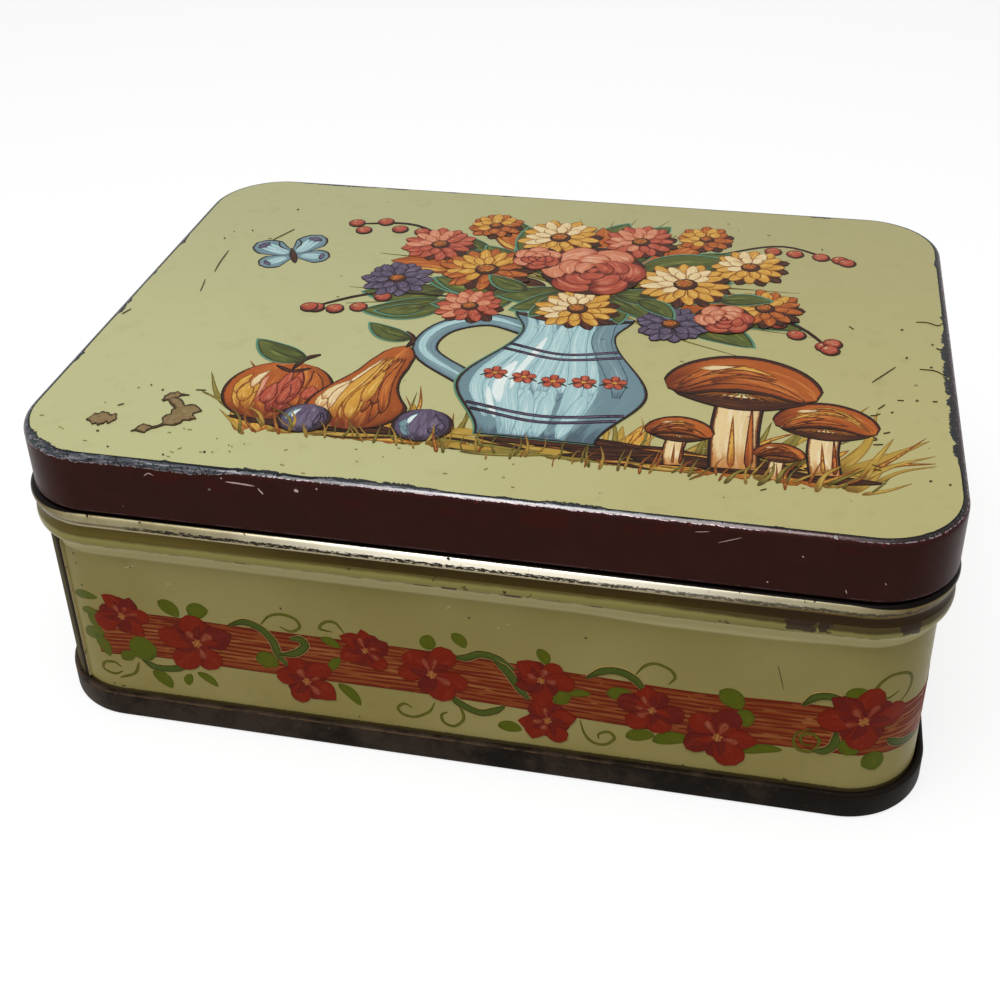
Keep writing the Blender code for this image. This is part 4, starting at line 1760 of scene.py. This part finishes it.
    def jug(self) -> None:
        """Draws the jug with its handle, two painted bands and a row of flowers."""
        self.earth(9, (4, 22), (-33.6, -31.4), (10, 20), 2.4)
        handle = ((2.4, -3.0), (-5.0, -0.6), (-11.6, -4.6), (-12.4, -12.0), (-4.0, -19.0))
        self.line(self.dark, handle, 4.0, band_shape)
        self.line(self.slate, handle, 3.4, band_shape)
        self.line(self.blue, [(x - 0.5, y + 0.4) for x, y in handle], 1.3, curl_shape)
        foot, lip, middle = self.jug_foot, self.jug_lip, self.jug_middle
        for ink, shift, raised, extra in ((self.teal, -0.15, -0.1, 0.6), (self.dark, 0.0, 0.0, 0.3),
                                          (self.slate, 0.0, 0.3, -0.5)):
            spine = [(middle + shift, y) for y in (foot + raised, -15, lip)]
            self.draw(ink, Stroke(spine, 2 * self.jug_reach + extra, jug_shape, 16, 8))
        rows = [foot + 0.6 + (lip - foot - 0.6) * step / 9 for step in range(10)]
        for index in range(30):
            share = self.vary(-0.86, 0.84)
            ink = self.slate if share > 0.62 or self.vary(0, 1) < max(0.0, share) ** 2 else self.blue
            first = self.pick((0, 0, 1, 3, 4))
            line = [(middle + share * self.jug_half(y) * 0.94, y)
                    for y in rows[first:self.pick((first + 4, 9, 10))]]
            self.line(ink, line, self.vary(1.6, 3.6), curl_shape, 3)
        for share, first, last, width in ((-0.55, 2, 6, 1.8), (-0.42, 3, 8, 1.2), (-0.66, 1, 4, 1.0)):
            line = [(middle + share * self.jug_half(y), y) for y in rows[first:last]]
            self.line(self.milk, line, width, curl_shape, 3)
        for height in (-7.4, -8.9, -24.6, -26.1):
            wide = self.jug_half(height) * 0.97
            band = ((middle - wide, height), (middle, height - 2.0), (middle + wide, height))
            self.line(self.plum, band, 0.75, band_shape)
        for step in range(5):
            x, y = -0.8 + 4.4 * step, -16.2 - 1.0 * (1 - abs(step - 2) / 2)
            self.line(self.green, ((x - 2.1, y - 1.0), (x, y + 0.2), (x + 2.1, y - 1.0)), 0.5)
            for angle in range(0, 360, 72):
                self.ray(self.rose, (x, y), angle + 18, 1.9, 1.4, lobe_shape)
            self.blot(self.ochre, (x, y), 1.0, 0.9)
        self.line(self.dark, ((17.2, 2.2), (8, 0.6), (-1.2, 2.2)), 1.8)

    def daisy(self, place: Place, radius: float, count: int, mid: Ink, light: Ink) -> None:
        """Draws a double flower, its petals lighter towards the upper left.

        Args:
            place: The flower's middle.
            radius: Its radius.
            count: Petals in the outer ring.
            mid: Ink of the petals in the shade.
            light: Ink of the petals in the light.
        """
        turn = self.vary(0, 360)
        self.blot(self.dark, place, radius * 1.5, radius * 1.5, 30)
        for ring, (reach, petals) in enumerate(((1.0, count), (0.90, count), (0.62, count - 3))):
            for step in range(petals):
                angle = turn + 360 * (step + 0.5 * ring) / petals + self.vary(-5, 5)
                toward = math.cos(math.radians(angle - 135))
                if ring == 0:
                    ink = self.dark if toward < -0.3 and mid is not self.plum else mid
                else:
                    shaded = toward + self.vary(-0.4, 0.4) < (0.15 if ring == 1 else -0.15)
                    ink = mid if shaded else light
                size = radius * reach
                self.ray(ink, place, angle, size * self.vary(0.92, 1.05),
                         2 * math.pi * size / petals * 0.66, petal_shape, self.vary(-0.06, 0.06),
                         radius * 0.12)
        self.blot(self.dark, place, radius * 0.52, radius * 0.48, 30)
        self.blot(self.russet, (place[0] - radius * 0.03, place[1] + radius * 0.04), radius * 0.38,
                  radius * 0.34, 30)
        x, y = place
        for step in range(7):
            angle = math.radians(360 * step / 7 + turn)
            dot = (x + math.cos(angle) * radius * 0.13 - radius * 0.04,
                   y + math.sin(angle) * radius * 0.12 + radius * 0.05)
            self.blot(self.ochre, dot, radius * 0.11, radius * 0.08, 30)

    def rosette(self, place: Place, radius: float) -> None:
        """Draws a full rose from rings of curved petals."""
        self.blot(self.dark, place, radius * 2.05, radius * 2.0, 20)
        for reach, petals, width in ((0.74, 6, 0.58), (0.48, 5, 0.46), (0.24, 3, 0.34)):
            turn = self.vary(0, 360)
            for step in range(petals):
                angle = turn + 360 * step / petals
                toward = math.cos(math.radians(angle - 135)) + self.vary(-0.5, 0.5)
                spine = [polar(place, angle + part / petals, radius * reach)
                         for part in (-200, -100, 0, 100, 200)]
                self.line(self.blush if toward > 0.1 else self.rose, spine, radius * width, leaf_shape, 4)
        self.blot(self.rose, place, radius * 0.3, radius * 0.2, 50, leaf_shape)

    def blossoms(self) -> None:
        """Draws the flowers in the jug, those at the back first."""
        for place, angle, length in (
            ((5, 11), 198, 11), ((5, 10), 222, 10), ((4, 9), 247, 8), ((12, 9), 292, 8),
            ((12, 10), 318, 10), ((13, 11), 344, 11), ((-3, 10), 172, 14), ((17, 11), 4, 15),
            ((-2, 16), 152, 16), ((16, 18), 30, 16), ((2, 20), 118, 15), ((12, 20), 62, 15),
        ):
            self.leaf(place, angle, length, length * 0.45)
        for place, radius, count, mid, light in (
            ((-11, 33), 5.2, 9, self.russet, self.ochre), ((26, 33.5), 5.2, 9, self.russet, self.ochre),
            ((-19, 24), 6.6, 11, self.rose, self.blush), ((34, 24), 6.6, 11, self.ochre, self.straw),
            ((1, 30), 7.4, 12, self.ochre, self.straw), ((15, 30.5), 6.6, 11, self.rose, self.blush),
            ((-23, 10.5), 6.2, 10, self.plum, self.plum), ((37, 10), 6.4, 11, self.russet, self.ochre),
            ((-9, 16), 8.2, 13, self.russet, self.ochre), ((24, 16), 8.0, 13, self.ochre, self.straw),
            ((8, 5.0), 6.8, 12, self.ochre, self.straw), ((-9, 3), 5.8, 10, self.rose, self.blush),
            ((23, 2.5), 6.0, 10, self.plum, self.plum),
        ):
            self.daisy(place, radius, count, mid, light)
        for place, radius in (((8.5, 18.5), 8.6), ((-1.5, 21.5), 4.2), ((31, 5.5), 4.6)):
            self.rosette(place, radius)
        for place, angle in (((-16, 2), 200), ((17, 9.5), -40), ((-1, 10), 150), ((30, 11), 10)):
            self.leaf(place, angle, 8.0, 3.6)

    def globe(self, spine: Sequence[Place], width: float, shape: Shape, inks: Sequence[Ink]) -> None:
        """Draws a round thing: its dark silhouette, and strokes that follow its form.

        Args:
            spine: Its middle line, from foot to top.
            width: Its full width.
            shape: Its width along the line.
            inks: Inks from the light side to the dark side.
        """
        self.draw(self.dark, Stroke(spine, width, shape, 10, 8))
        self.draw(inks[-1], Stroke([(x - 0.1, y + 0.1) for x, y in spine], width - 0.9, shape, 10, 8))
        line = smooth(spine, 4)
        last = len(line) - 1
        for index in range(26):
            share = self.vary(-0.80, 0.72)
            kind = (share + 0.8) / 1.6 * len(inks) + self.vary(-0.6, 0.6)
            ink = inks[min(len(inks) - 1, max(0, int(kind)))]
            low, high = self.vary(0.06, 0.35), self.vary(0.62, 0.94)
            points = [(x + share * width / 2 * shape(step / last) * 0.92, y)
                      for step, (x, y) in enumerate(line) if low <= step / last <= high]
            if len(points) > 1:
                self.line(ink, points, width * self.vary(0.09, 0.18), leaf_shape, 3)

    def fruit(self) -> None:
        """Draws an apple, a pear and two plums to the left of the jug."""
        self.earth(8, (-30, -8), (-34.6, -32.6), (9, 16), 2.2)
        self.globe([(-30.6, -34.2), (-30.8, -26.2), (-30.6, -18.2)], 16.4, round_shape,
                   (self.ochre, self.blush, self.rose, self.rose, self.russet))
        self.ray(self.straw, (-34.8, -26.4), 78, 5.6, 1.5, leaf_shape, 0.1)
        self.line(self.dark, ((-33.4, -19.6), (-30.6, -20.8), (-28.0, -19.6)), 0.9)
        self.line(self.dark, ((-30.6, -20.4), (-29.8, -17.2), (-27.8, -15.4)), 1.0)
        self.leaf((-29.4, -17.6), 152, 10.5, 4.6)
        self.globe([(-17.6, -34.6), (-18.4, -25), (-15.4, -10.6)], 15.0, pear_shape,
                   (self.straw, self.ochre, self.ochre, self.russet, self.russet))
        self.ray(self.straw, (-22.0, -30.0), 82, 8.0, 1.5, leaf_shape, 0.08)
        self.line(self.dark, ((-15.6, -11.4), (-15.2, -8.6), (-16.8, -6.4)), 0.9)
        self.leaf((-15.6, -8.8), 152, 8.5, 3.6)
        for place, size in (((-24.4, -32.8), 7.8), ((-7.6, -31.6), 8.8)):
            x, y = place
            self.globe([(x, y - size * 0.46), (x - 0.2, y), (x, y + size * 0.46)], size, round_shape,
                       (self.slate, self.bloom, self.bloom, self.bloom, self.plum))
            self.ray(self.milk, (x - size * 0.26, y), 74, size * 0.3, size * 0.08, leaf_shape, 0.1)

    def mushrooms(self) -> None:
        """Draws four mushrooms to the right of the jug."""
        self.earth(9, (27, 49), (-35.0, -32.8), (8, 16), 2.2)
        for foot, height, cap in (((46.8, -34), 10.5, 13.5), ((35.0, -34.5), 18.0, 21.0),
                                  ((27.2, -35), 7.0, 9.0), ((40.8, -36), 5.0, 6.6)):
            x, y = foot
            stem = [(x, y), (x - 0.4, y + height / 2), (x, y + height)]
            self.draw(self.dark, Stroke(stem, cap * 0.33, band_shape, 4))
            self.draw(self.straw, Stroke(stem, cap * 0.28, band_shape, 4))
            self.ray(self.russet, (x + cap * 0.09, y + 0.3), 91, height * 0.9, cap * 0.07, taper_shape)
            self.ray(self.ochre, (x - cap * 0.02, y + 0.3), 92, height * 0.7, cap * 0.06, taper_shape)
            top = y + height
            gills = [(x + a * cap, top + b) for a, b in ((-0.47, 0.2), (0, -cap * 0.10), (0.47, 0.2))]
            self.line(self.dark, gills, cap * 0.16, cap_shape, 8)
            for step in range(11):
                share = (step - 5) / 5.6
                gill = ((x + share * cap * 0.12, top + cap * 0.03),
                        (x + share * cap * 0.42, top - cap * 0.05 + abs(share) * cap * 0.03))
                self.line(self.ochre, gill, 0.28)
            arch = [(x + a * cap, top + b * cap)
                    for a, b in ((-0.5, 0.02), (-0.26, 0.22), (0, 0.29), (0.26, 0.22), (0.5, 0.02))]
            self.line(self.dark, arch, cap * 0.50, cap_shape, 6)
            self.line(self.russet, [(a - 0.05, b + 0.1) for a, b in arch], cap * 0.42, cap_shape, 6)
            for index in range(12):
                lift, first = self.vary(-0.13, 0.13), self.pick((0, 0, 1))
                line = [(x + (a - x) * 0.88, b + lift * cap * (1 - ((a - x) / cap * 2) ** 2 * 0.6))
                        for a, b in arch]
                ink = self.pick((self.ochre, self.ochre, self.russet)) if lift > 0.02 else self.russet
                self.line(ink, line[first:first + self.pick((3, 4))], cap * self.vary(0.05, 0.10),
                          leaf_shape, 4)
            self.line(self.straw, [(a - cap * 0.06, b + cap * 0.09) for a, b in arch[1:3]], cap * 0.07,
                      leaf_shape)

    def butterfly(self, place: Place, turn: float) -> None:
        """Draws a small blue butterfly."""
        for angle, length, width in ((50, 8.6, 5.4), (130, 8.6, 5.4), (-20, 6.2, 4.6), (200, 6.2, 4.6)):
            self.ray(self.dark, place, angle + turn, length + 0.3, width + 0.5, petal_shape, 0.0, 0.4)
            self.ray(self.slate, place, angle + turn, length, width, petal_shape, 0.0, 0.4)
            for part in (-9, 0, 9):
                self.ray(self.blue, place, angle + turn + part, length * 0.8, width * 0.24, leaf_shape,
                         0.0, 1.2)
            self.ray(self.plum, place, angle + turn, length - 0.7, width * 0.5, leaf_shape, 0.0,
                     length * 0.72)
        self.blot(self.dark, place, 6.2, 1.3, 90 + turn, leaf_shape)
        for side in (-16, 16):
            self.ray(self.dark, place, 90 + turn + side, 6.4, 0.3, curl_shape, side / 100, 2.6)


@dataclass
class Marks:
    """Chips, scratches and specks in the print, where the photographed tin has them.

    Attributes:
        shape: The tin's sizes.
        seed: Start of the small random differences.
        chips: Spine, width and share of the width along it, of the lid's chips.
        cuts: Spines of the lid's dark scratches.
        specks: Places of the lid's dark specks.
        skirt_cuts: Spines of the pale scratches of the skirt, as (along, height).
        wall_cuts: Spines of the pale scratches of the wall.
        wall_marks: Spines of the dark marks of the wall.
    """

    shape: TinShape
    seed: int = 3
    chips: tuple[tuple[tuple[Place, ...], float, tuple[Place, ...]], ...] = (
        (((-54.9, -38.4), (-53.4, -37.9), (-52.0, -37.6), (-50.7, -37.6)), 3.5,
         ((0, 0.1), (0.25, 0.8), (0.5, 1.0), (0.68, 0.6), (0.85, 0.72), (1.0, 0.15))),
        (((-47.4, -40.1), (-46.4, -39.4), (-45.4, -38.9), (-44.4, -38.5), (-43.5, -37.5), (-42.7, -36.1),
          (-41.9, -34.7), (-41.0, -33.6), (-39.6, -33.5)), 4.4,
         ((0, 0.05), (0.20, 0.50), (0.34, 0.12), (0.46, 0.14), (0.60, 0.75), (0.82, 1.0), (1.0, 0.1))),
        (((-46.2, -31.9), (-45.4, -30.6), (-44.4, -30.0), (-43.0, -29.8)), 1.9,
         ((0, 0.3), (0.3, 1.0), (0.6, 0.95), (0.75, 0.3), (1.0, 0.1))),
        (((-45.0, -31.2), (-44.0, -32.0), (-43.0, -33.2)), 2.0, ((0, 0.7), (0.5, 0.9), (1.0, 0.8))),
    )
    cuts: tuple[tuple[Place, ...], ...] = (
        ((53.1, -9.5), (56.5, -4.6)), ((59.9, -4.6), (62.0, -4.7), (63.4, -5.8)),
        ((60.0, 9.7), (61.7, 9.8), (63.2, 9.1), (64.0, 10.1)), ((62.6, 2.0), (63.3, 1.5)),
        ((49.9, 6.6), (50.6, 5.8)), ((-46.2, 25.9), (-47.1, 24.0), (-48.5, 21.1)),
        ((-54.7, 15.8), (-54.5, 11.4), (-54.1, 7.9)), ((-54.6, 5.0), (-54.1, 2.6), (-53.8, 0.8)),
        ((-52.1, -34.2), (-51.4, -33.6)), ((-42.6, -28.3), (-41.1, -28.1)),
        ((53.8, -16.6), (54.8, -15.2)), ((52.7, -18.5), (53.4, -18.3), (54.1, -17.7)),
        ((54.4, -22.7), (55.3, -22.2)), ((52.9, -23.6), (53.5, -24.3), (53.0, -24.6)),
        ((53.0, -25.7), (54.3, -25.4)), ((52.8, -30.5), (53.9, -30.9)), ((52.9, -31.4), (54.0, -31.7)),
        ((56.5, -13.8), (57.4, -13.7)), ((61.3, -13.3), (62.0, -13.2)), ((-63.2, -8.6), (-62.5, -6.8)),
        ((23.0, -35.9), (23.6, -35.3)), ((38.7, -38.8), (39.5, -38.3)), ((13.0, -4.1), (13.6, -3.6)),
    )
    specks: tuple[Place, ...] = (
        (62.1, 3.0), (58.2, -1.6), (61.6, -3.8), (-48.3, 34.0), (-57.2, 20.4), (-53.4, 24.2),
        (-49.6, -28.1), (-47.4, -29.1), (-52.0, -40.8), (-48.9, -44.2), (-35.3, -43.1),
        (-40.6, -44.7), (55.7, -17.1), (59.2, -13.4), (60.1, -32.9), (62.5, -33.3), (45.5, 32.8),
        (-10.7, 19.6), (57.8, 6.9),
    )
    skirt_cuts: tuple[tuple[tuple[Place, ...], float], ...] = (
        (((-31.0, 46.4), (-29.0, 46.35), (-26.9, 46.2)), 0.26), (((-26.5, 45.9), (-25.8, 45.0)), 0.24),
        (((-21.4, 46.3), (-20.8, 46.1)), 0.50), (((-42.7, 45.9), (-42.0, 46.4), (-41.3, 46.1)), 0.16),
        (((-31.6, 47.0), (-31.4, 46.8)), 0.22), (((-18.4, 46.9), (-18.1, 46.8)), 0.22),
        (((34.1, 45.3), (37.0, 46.5)), 0.12), (((31.2, 46.6), (33.0, 46.9)), 0.12),
        (((44.5, 44.7), (44.7, 44.5)), 0.20), (((40.5, 40.1), (40.7, 39.9)), 0.20),
        (((50.2, 40.2), (50.4, 39.6)), 0.14), (((54.8, 41.8), (55.0, 41.5)), 0.14),
    )
    wall_cuts: tuple[tuple[Place, ...], ...] = (
        ((-42.8, 26.2), (-41.8, 26.3)), ((-49.0, 28.1), (-46.9, 29.0)), ((-1.6, 28.0), (-0.8, 28.6)),
        ((5.6, 25.6), (5.9, 25.8)), ((7.0, 26.5), (7.3, 26.7)),
    )
    wall_marks: tuple[tuple[Place, ...], ...] = (
        ((43.3, 25.4), (43.8, 23.5), (44.4, 21.1)), ((31.6, 4.8), (31.9, 4.6)), ((45.5, 4.9), (46.2, 4.6)),
        ((-56.7, 23.6), (-56.4, 23.4)), ((-54.4, 5.2), (-54.1, 5.1)), ((-53.1, 4.9), (-52.4, 4.9)),
        ((-25.8, 24.5), (-25.6, 24.1)), ((1.5, 27.0), (1.8, 26.8)), ((-15.6, 5.5), (-15.4, 5.2)),
        ((-57.1, 29.3), (-56.8, 29.0)), ((-56.9, 27.5), (-56.7, 27.3)), ((-47.9, 28.6), (-47.7, 28.4)),
    )

    def build(self) -> None:
        """Draws the marks on the lid's top, on its skirt and on the wall."""
        chip = Ink("chip_print", (128, 106, 70), (156, 134, 96), (52, 38, 20), (128, 106, 70), 0.40,
                   0.8, 7.0, 0.0, run=9.0)
        dark = Ink("scratch_print", (84, 72, 44), (120, 106, 68), (70, 58, 34), (84, 72, 44), 0.04, 0.6,
                   2.0, 0.0, run=8.0)
        faint = Ink("speck_print", (176, 168, 120), (180, 172, 124), (160, 150, 104), (176, 168, 120),
                    0.03, 0.5, 2.0, 0.0)
        pale = Ink("pale_scratch", (248, 222, 216), (255, 240, 236), (190, 150, 144), (248, 222, 216),
                   0.04, 0.6, 2.0, 0.0, run=8.0)
        straw = Ink("straw_scratch", (232, 222, 176), (246, 240, 204), (196, 184, 132), (232, 222, 176),
                    0.04, 0.6, 2.0, 0.0, run=8.0)
        top, skirt, wall = Painter(self.shape, self.seed), Painter(self.shape), Painter(self.shape)
        for spine, width, knots in self.chips:
            top.draw(chip, Stroke(spine, width, self.chip_shape(knots, top.vary(0, 6)), 8, 6))
        for spine in self.cuts:
            top.line(dark, spine, top.vary(0.10, 0.20))
        for place in self.specks:
            top.blot(dark, place, top.vary(0.25, 0.45), top.vary(0.2, 0.35), top.vary(0, 180))
        for index in range(64):
            area = ((-62, 10), (-45.6, -38)) if index < 26 else ((-61, 62), (-45, 44))
            place = tuple(top.vary(*span) for span in area)
            top.blot(faint, place, top.vary(0.2, 0.7), top.vary(0.08, 0.18), top.vary(-30, 60))
        for spine, width in self.skirt_cuts:
            skirt.line(pale, spine, width)
        for spine in self.wall_cuts:
            wall.line(straw, spine, 0.16)
        for spine in self.wall_marks:
            wall.line(dark, spine, 0.20 if len(spine) == 2 else 0.09)
        top.pieces("marks", Body.LID, Slot.LID, self.shape.on_top, 0.002, 0.16)
        skirt.pieces("skirt", Body.LID, Slot.LID, self.shape.on_skirt)
        wall.pieces("wall", Body.TIN, Slot.WALL, self.shape.on_wall, 0.004, 0.03)

    @staticmethod
    def chip_shape(knots: Sequence[Place], phase: float) -> Shape:
        """The ragged width of a chip along its spine.

        Args:
            knots: Places with their shares of the width.
            phase: Where the ragged waves start.

        Returns:
            The shape.
        """
        def shape(share: float) -> float:
            """The width at a share of the length."""
            waves = 1 + 0.12 * math.sin(31 * share + phase) + 0.08 * math.sin(73 * share)
            return eased(share, knots) * waves

        return shape


# Studio


@dataclass
class Studio:
    """Camera, lamps, floor and backdrop.

    Attributes:
        eye: The camera's place, in millimetres.
        yaw: The camera's turn to the left about Z, in radians.
        pitch: How far it looks down, in radians.
        roll: Its turn about its own axis, in radians.
        focal: Focal length in pixels of the photograph's frame.
        size: Side of the photograph's frame, in pixels.
        centre_row: Row of the frame where the camera's axis lies.
        sensor: Width of the camera's sensor, in millimetres.
        glow: How bright floor and backdrop look to the camera.
        ambient: How much light the backdrop throws on the tin.
    """

    eye: tuple[float, float, float] = (38.818, -189.532, 155.642)
    yaw: float = -0.2188
    pitch: float = 0.5352
    roll: float = -0.0241
    focal: float = 1416.4
    size: float = 1000.0
    centre_row: float = 360.0
    sensor: float = 36.0
    glow: float = 0.78
    ambient: float = 0.22

    def build(self) -> None:
        """Makes the camera, the lamps, the floor and the world."""
        self.camera()
        self.floor()
        self.world()
        self.lamp("key", (-0.03, -0.14, 0.60), (0.46, 0.50), 2.9)
        self.lamp("left_fill", (-0.75, -0.25, 0.30), (0.35, 0.35), 0.25)
        bpy.context.scene.view_settings.view_transform = "Standard"

    def camera(self) -> None:
        """Places the camera at the photograph's view."""
        ahead = Vector((math.sin(self.yaw) * math.cos(self.pitch),
                        math.cos(self.yaw) * math.cos(self.pitch), -math.sin(self.pitch)))
        level = Vector((math.cos(self.yaw), -math.sin(self.yaw), 0.0))
        above = level.cross(ahead)
        right = level * math.cos(self.roll) + above * math.sin(self.roll)
        up = above * math.cos(self.roll) - level * math.sin(self.roll)
        lens = bpy.data.cameras.new("camera")
        lens.sensor_width = self.sensor
        lens.lens = self.focal * self.sensor / self.size
        lens.shift_y = (self.centre_row - self.size / 2) / self.size
        lens.clip_start = 0.01
        item = add_object("camera", lens)
        item.matrix_world = Matrix((
            (right.x, up.x, -ahead.x, self.eye[0] * MM),
            (right.y, up.y, -ahead.y, self.eye[1] * MM),
            (right.z, up.z, -ahead.z, self.eye[2] * MM),
            (0.0, 0.0, 0.0, 1.0),
        ))
        bpy.context.scene.camera = item

    def lamp(self, name: str, place: tuple[float, float, float], size: Place, power: float) -> None:
        """Adds a soft lamp that points at the tin.

        Args:
            name: The lamp's name.
            place: Where it hangs, in metres.
            size: Its width and height, in metres.
            power: Its power, in watts.
        """
        light = bpy.data.lights.new(name, "AREA")
        light.shape = "RECTANGLE"
        light.size, light.size_y = size
        light.energy = power
        item = add_object(name, light)
        item.location = place
        aim = Vector((0.0, 0.0, 0.03)) - Vector(place)
        item.rotation_euler = aim.to_track_quat("-Z", "Y").to_euler()

    def floor(self) -> None:
        """Adds a pale floor that keeps the tin's shadow."""
        mesh = bpy.data.meshes.new("floor")
        half = 3.0
        mesh.from_pydata([(-half, -half, 0), (half, -half, 0), (half, half, 0), (-half, half, 0)], [],
                         [(0, 1, 2, 3)])
        graph = Graph("pale_floor")
        graph.set(Base_Color=(0.30, 0.30, 0.30), Roughness=0.9, Specular_IOR_Level=0.0)
        glow = graph.node("Emission", {"Color": (1.0, 1.0, 1.0), "Strength": graph.seen(self.glow)})
        both = graph.node("AddShader", {0: graph.shader.outputs[0], 1: glow[0]})
        graph.put(both[0], graph.tree.nodes["Material Output"].inputs["Surface"])
        mesh.materials.append(graph.material)
        add_object("floor", mesh)

    def world(self) -> None:
        """Makes a white backdrop that lights the tin only a little."""
        graph = Graph("studio", world=True)
        bpy.context.scene.world = graph.material
        graph.set(Color=(1.0, 1.0, 1.0), Strength=graph.seen(self.glow) + self.ambient)


def build_tin() -> None:
    """Builds the three sheets with their prints."""
    shape = TinShape()
    inside = BareTin("inside_tinplate", screen(168, 160, 140), screen(136, 121, 92), 0.42, 0.85,
                     0.32).material()
    lid, wall = shape.lid_section(), shape.wall_section()
    paint, cream = SkirtPaint(), WallPrint()
    rolled = 5
    skirt = next(i for i, (reach, height) in enumerate(lid) if reach > -0.02 and height < paint.top)
    lobe = next(i for i, (reach, height) in enumerate(wall) if reach > -1.0 and height < cream.top)
    Sheet("lid_sheet", "lid", Body.LID, Slot.LID, lid, rolled, True, shape.lid_shift).build(
        shape.outline, ((0, LidTop().material()), (rolled, RolledEdge().material()),
                        (skirt, paint.material())), inside)
    Sheet("wall_sheet", "body_wall", Body.TIN, Slot.WALL, wall).build(
        shape.outline, ((0, ShoulderLacquer().material()), (lobe, cream.material())), inside)
    Sheet("bottom_sheet", "bottom_end", Body.TIN, Slot.END, shape.end_section(), 0, True,
          inward=True).build(shape.outline, ((0, RimTin().material()),), inside)
    LockSeam(shape).build(SeamStrip().material())
    Garland(shape).build()
    Posy(shape).build()
    Marks(shape).build()


def main() -> None:
    """Builds the studio and the tin."""
    logging.basicConfig(level=logging.INFO, format="%(name)s: %(message)s")
    Studio().build()
    build_tin()


if __name__ == "__main__":
    main()
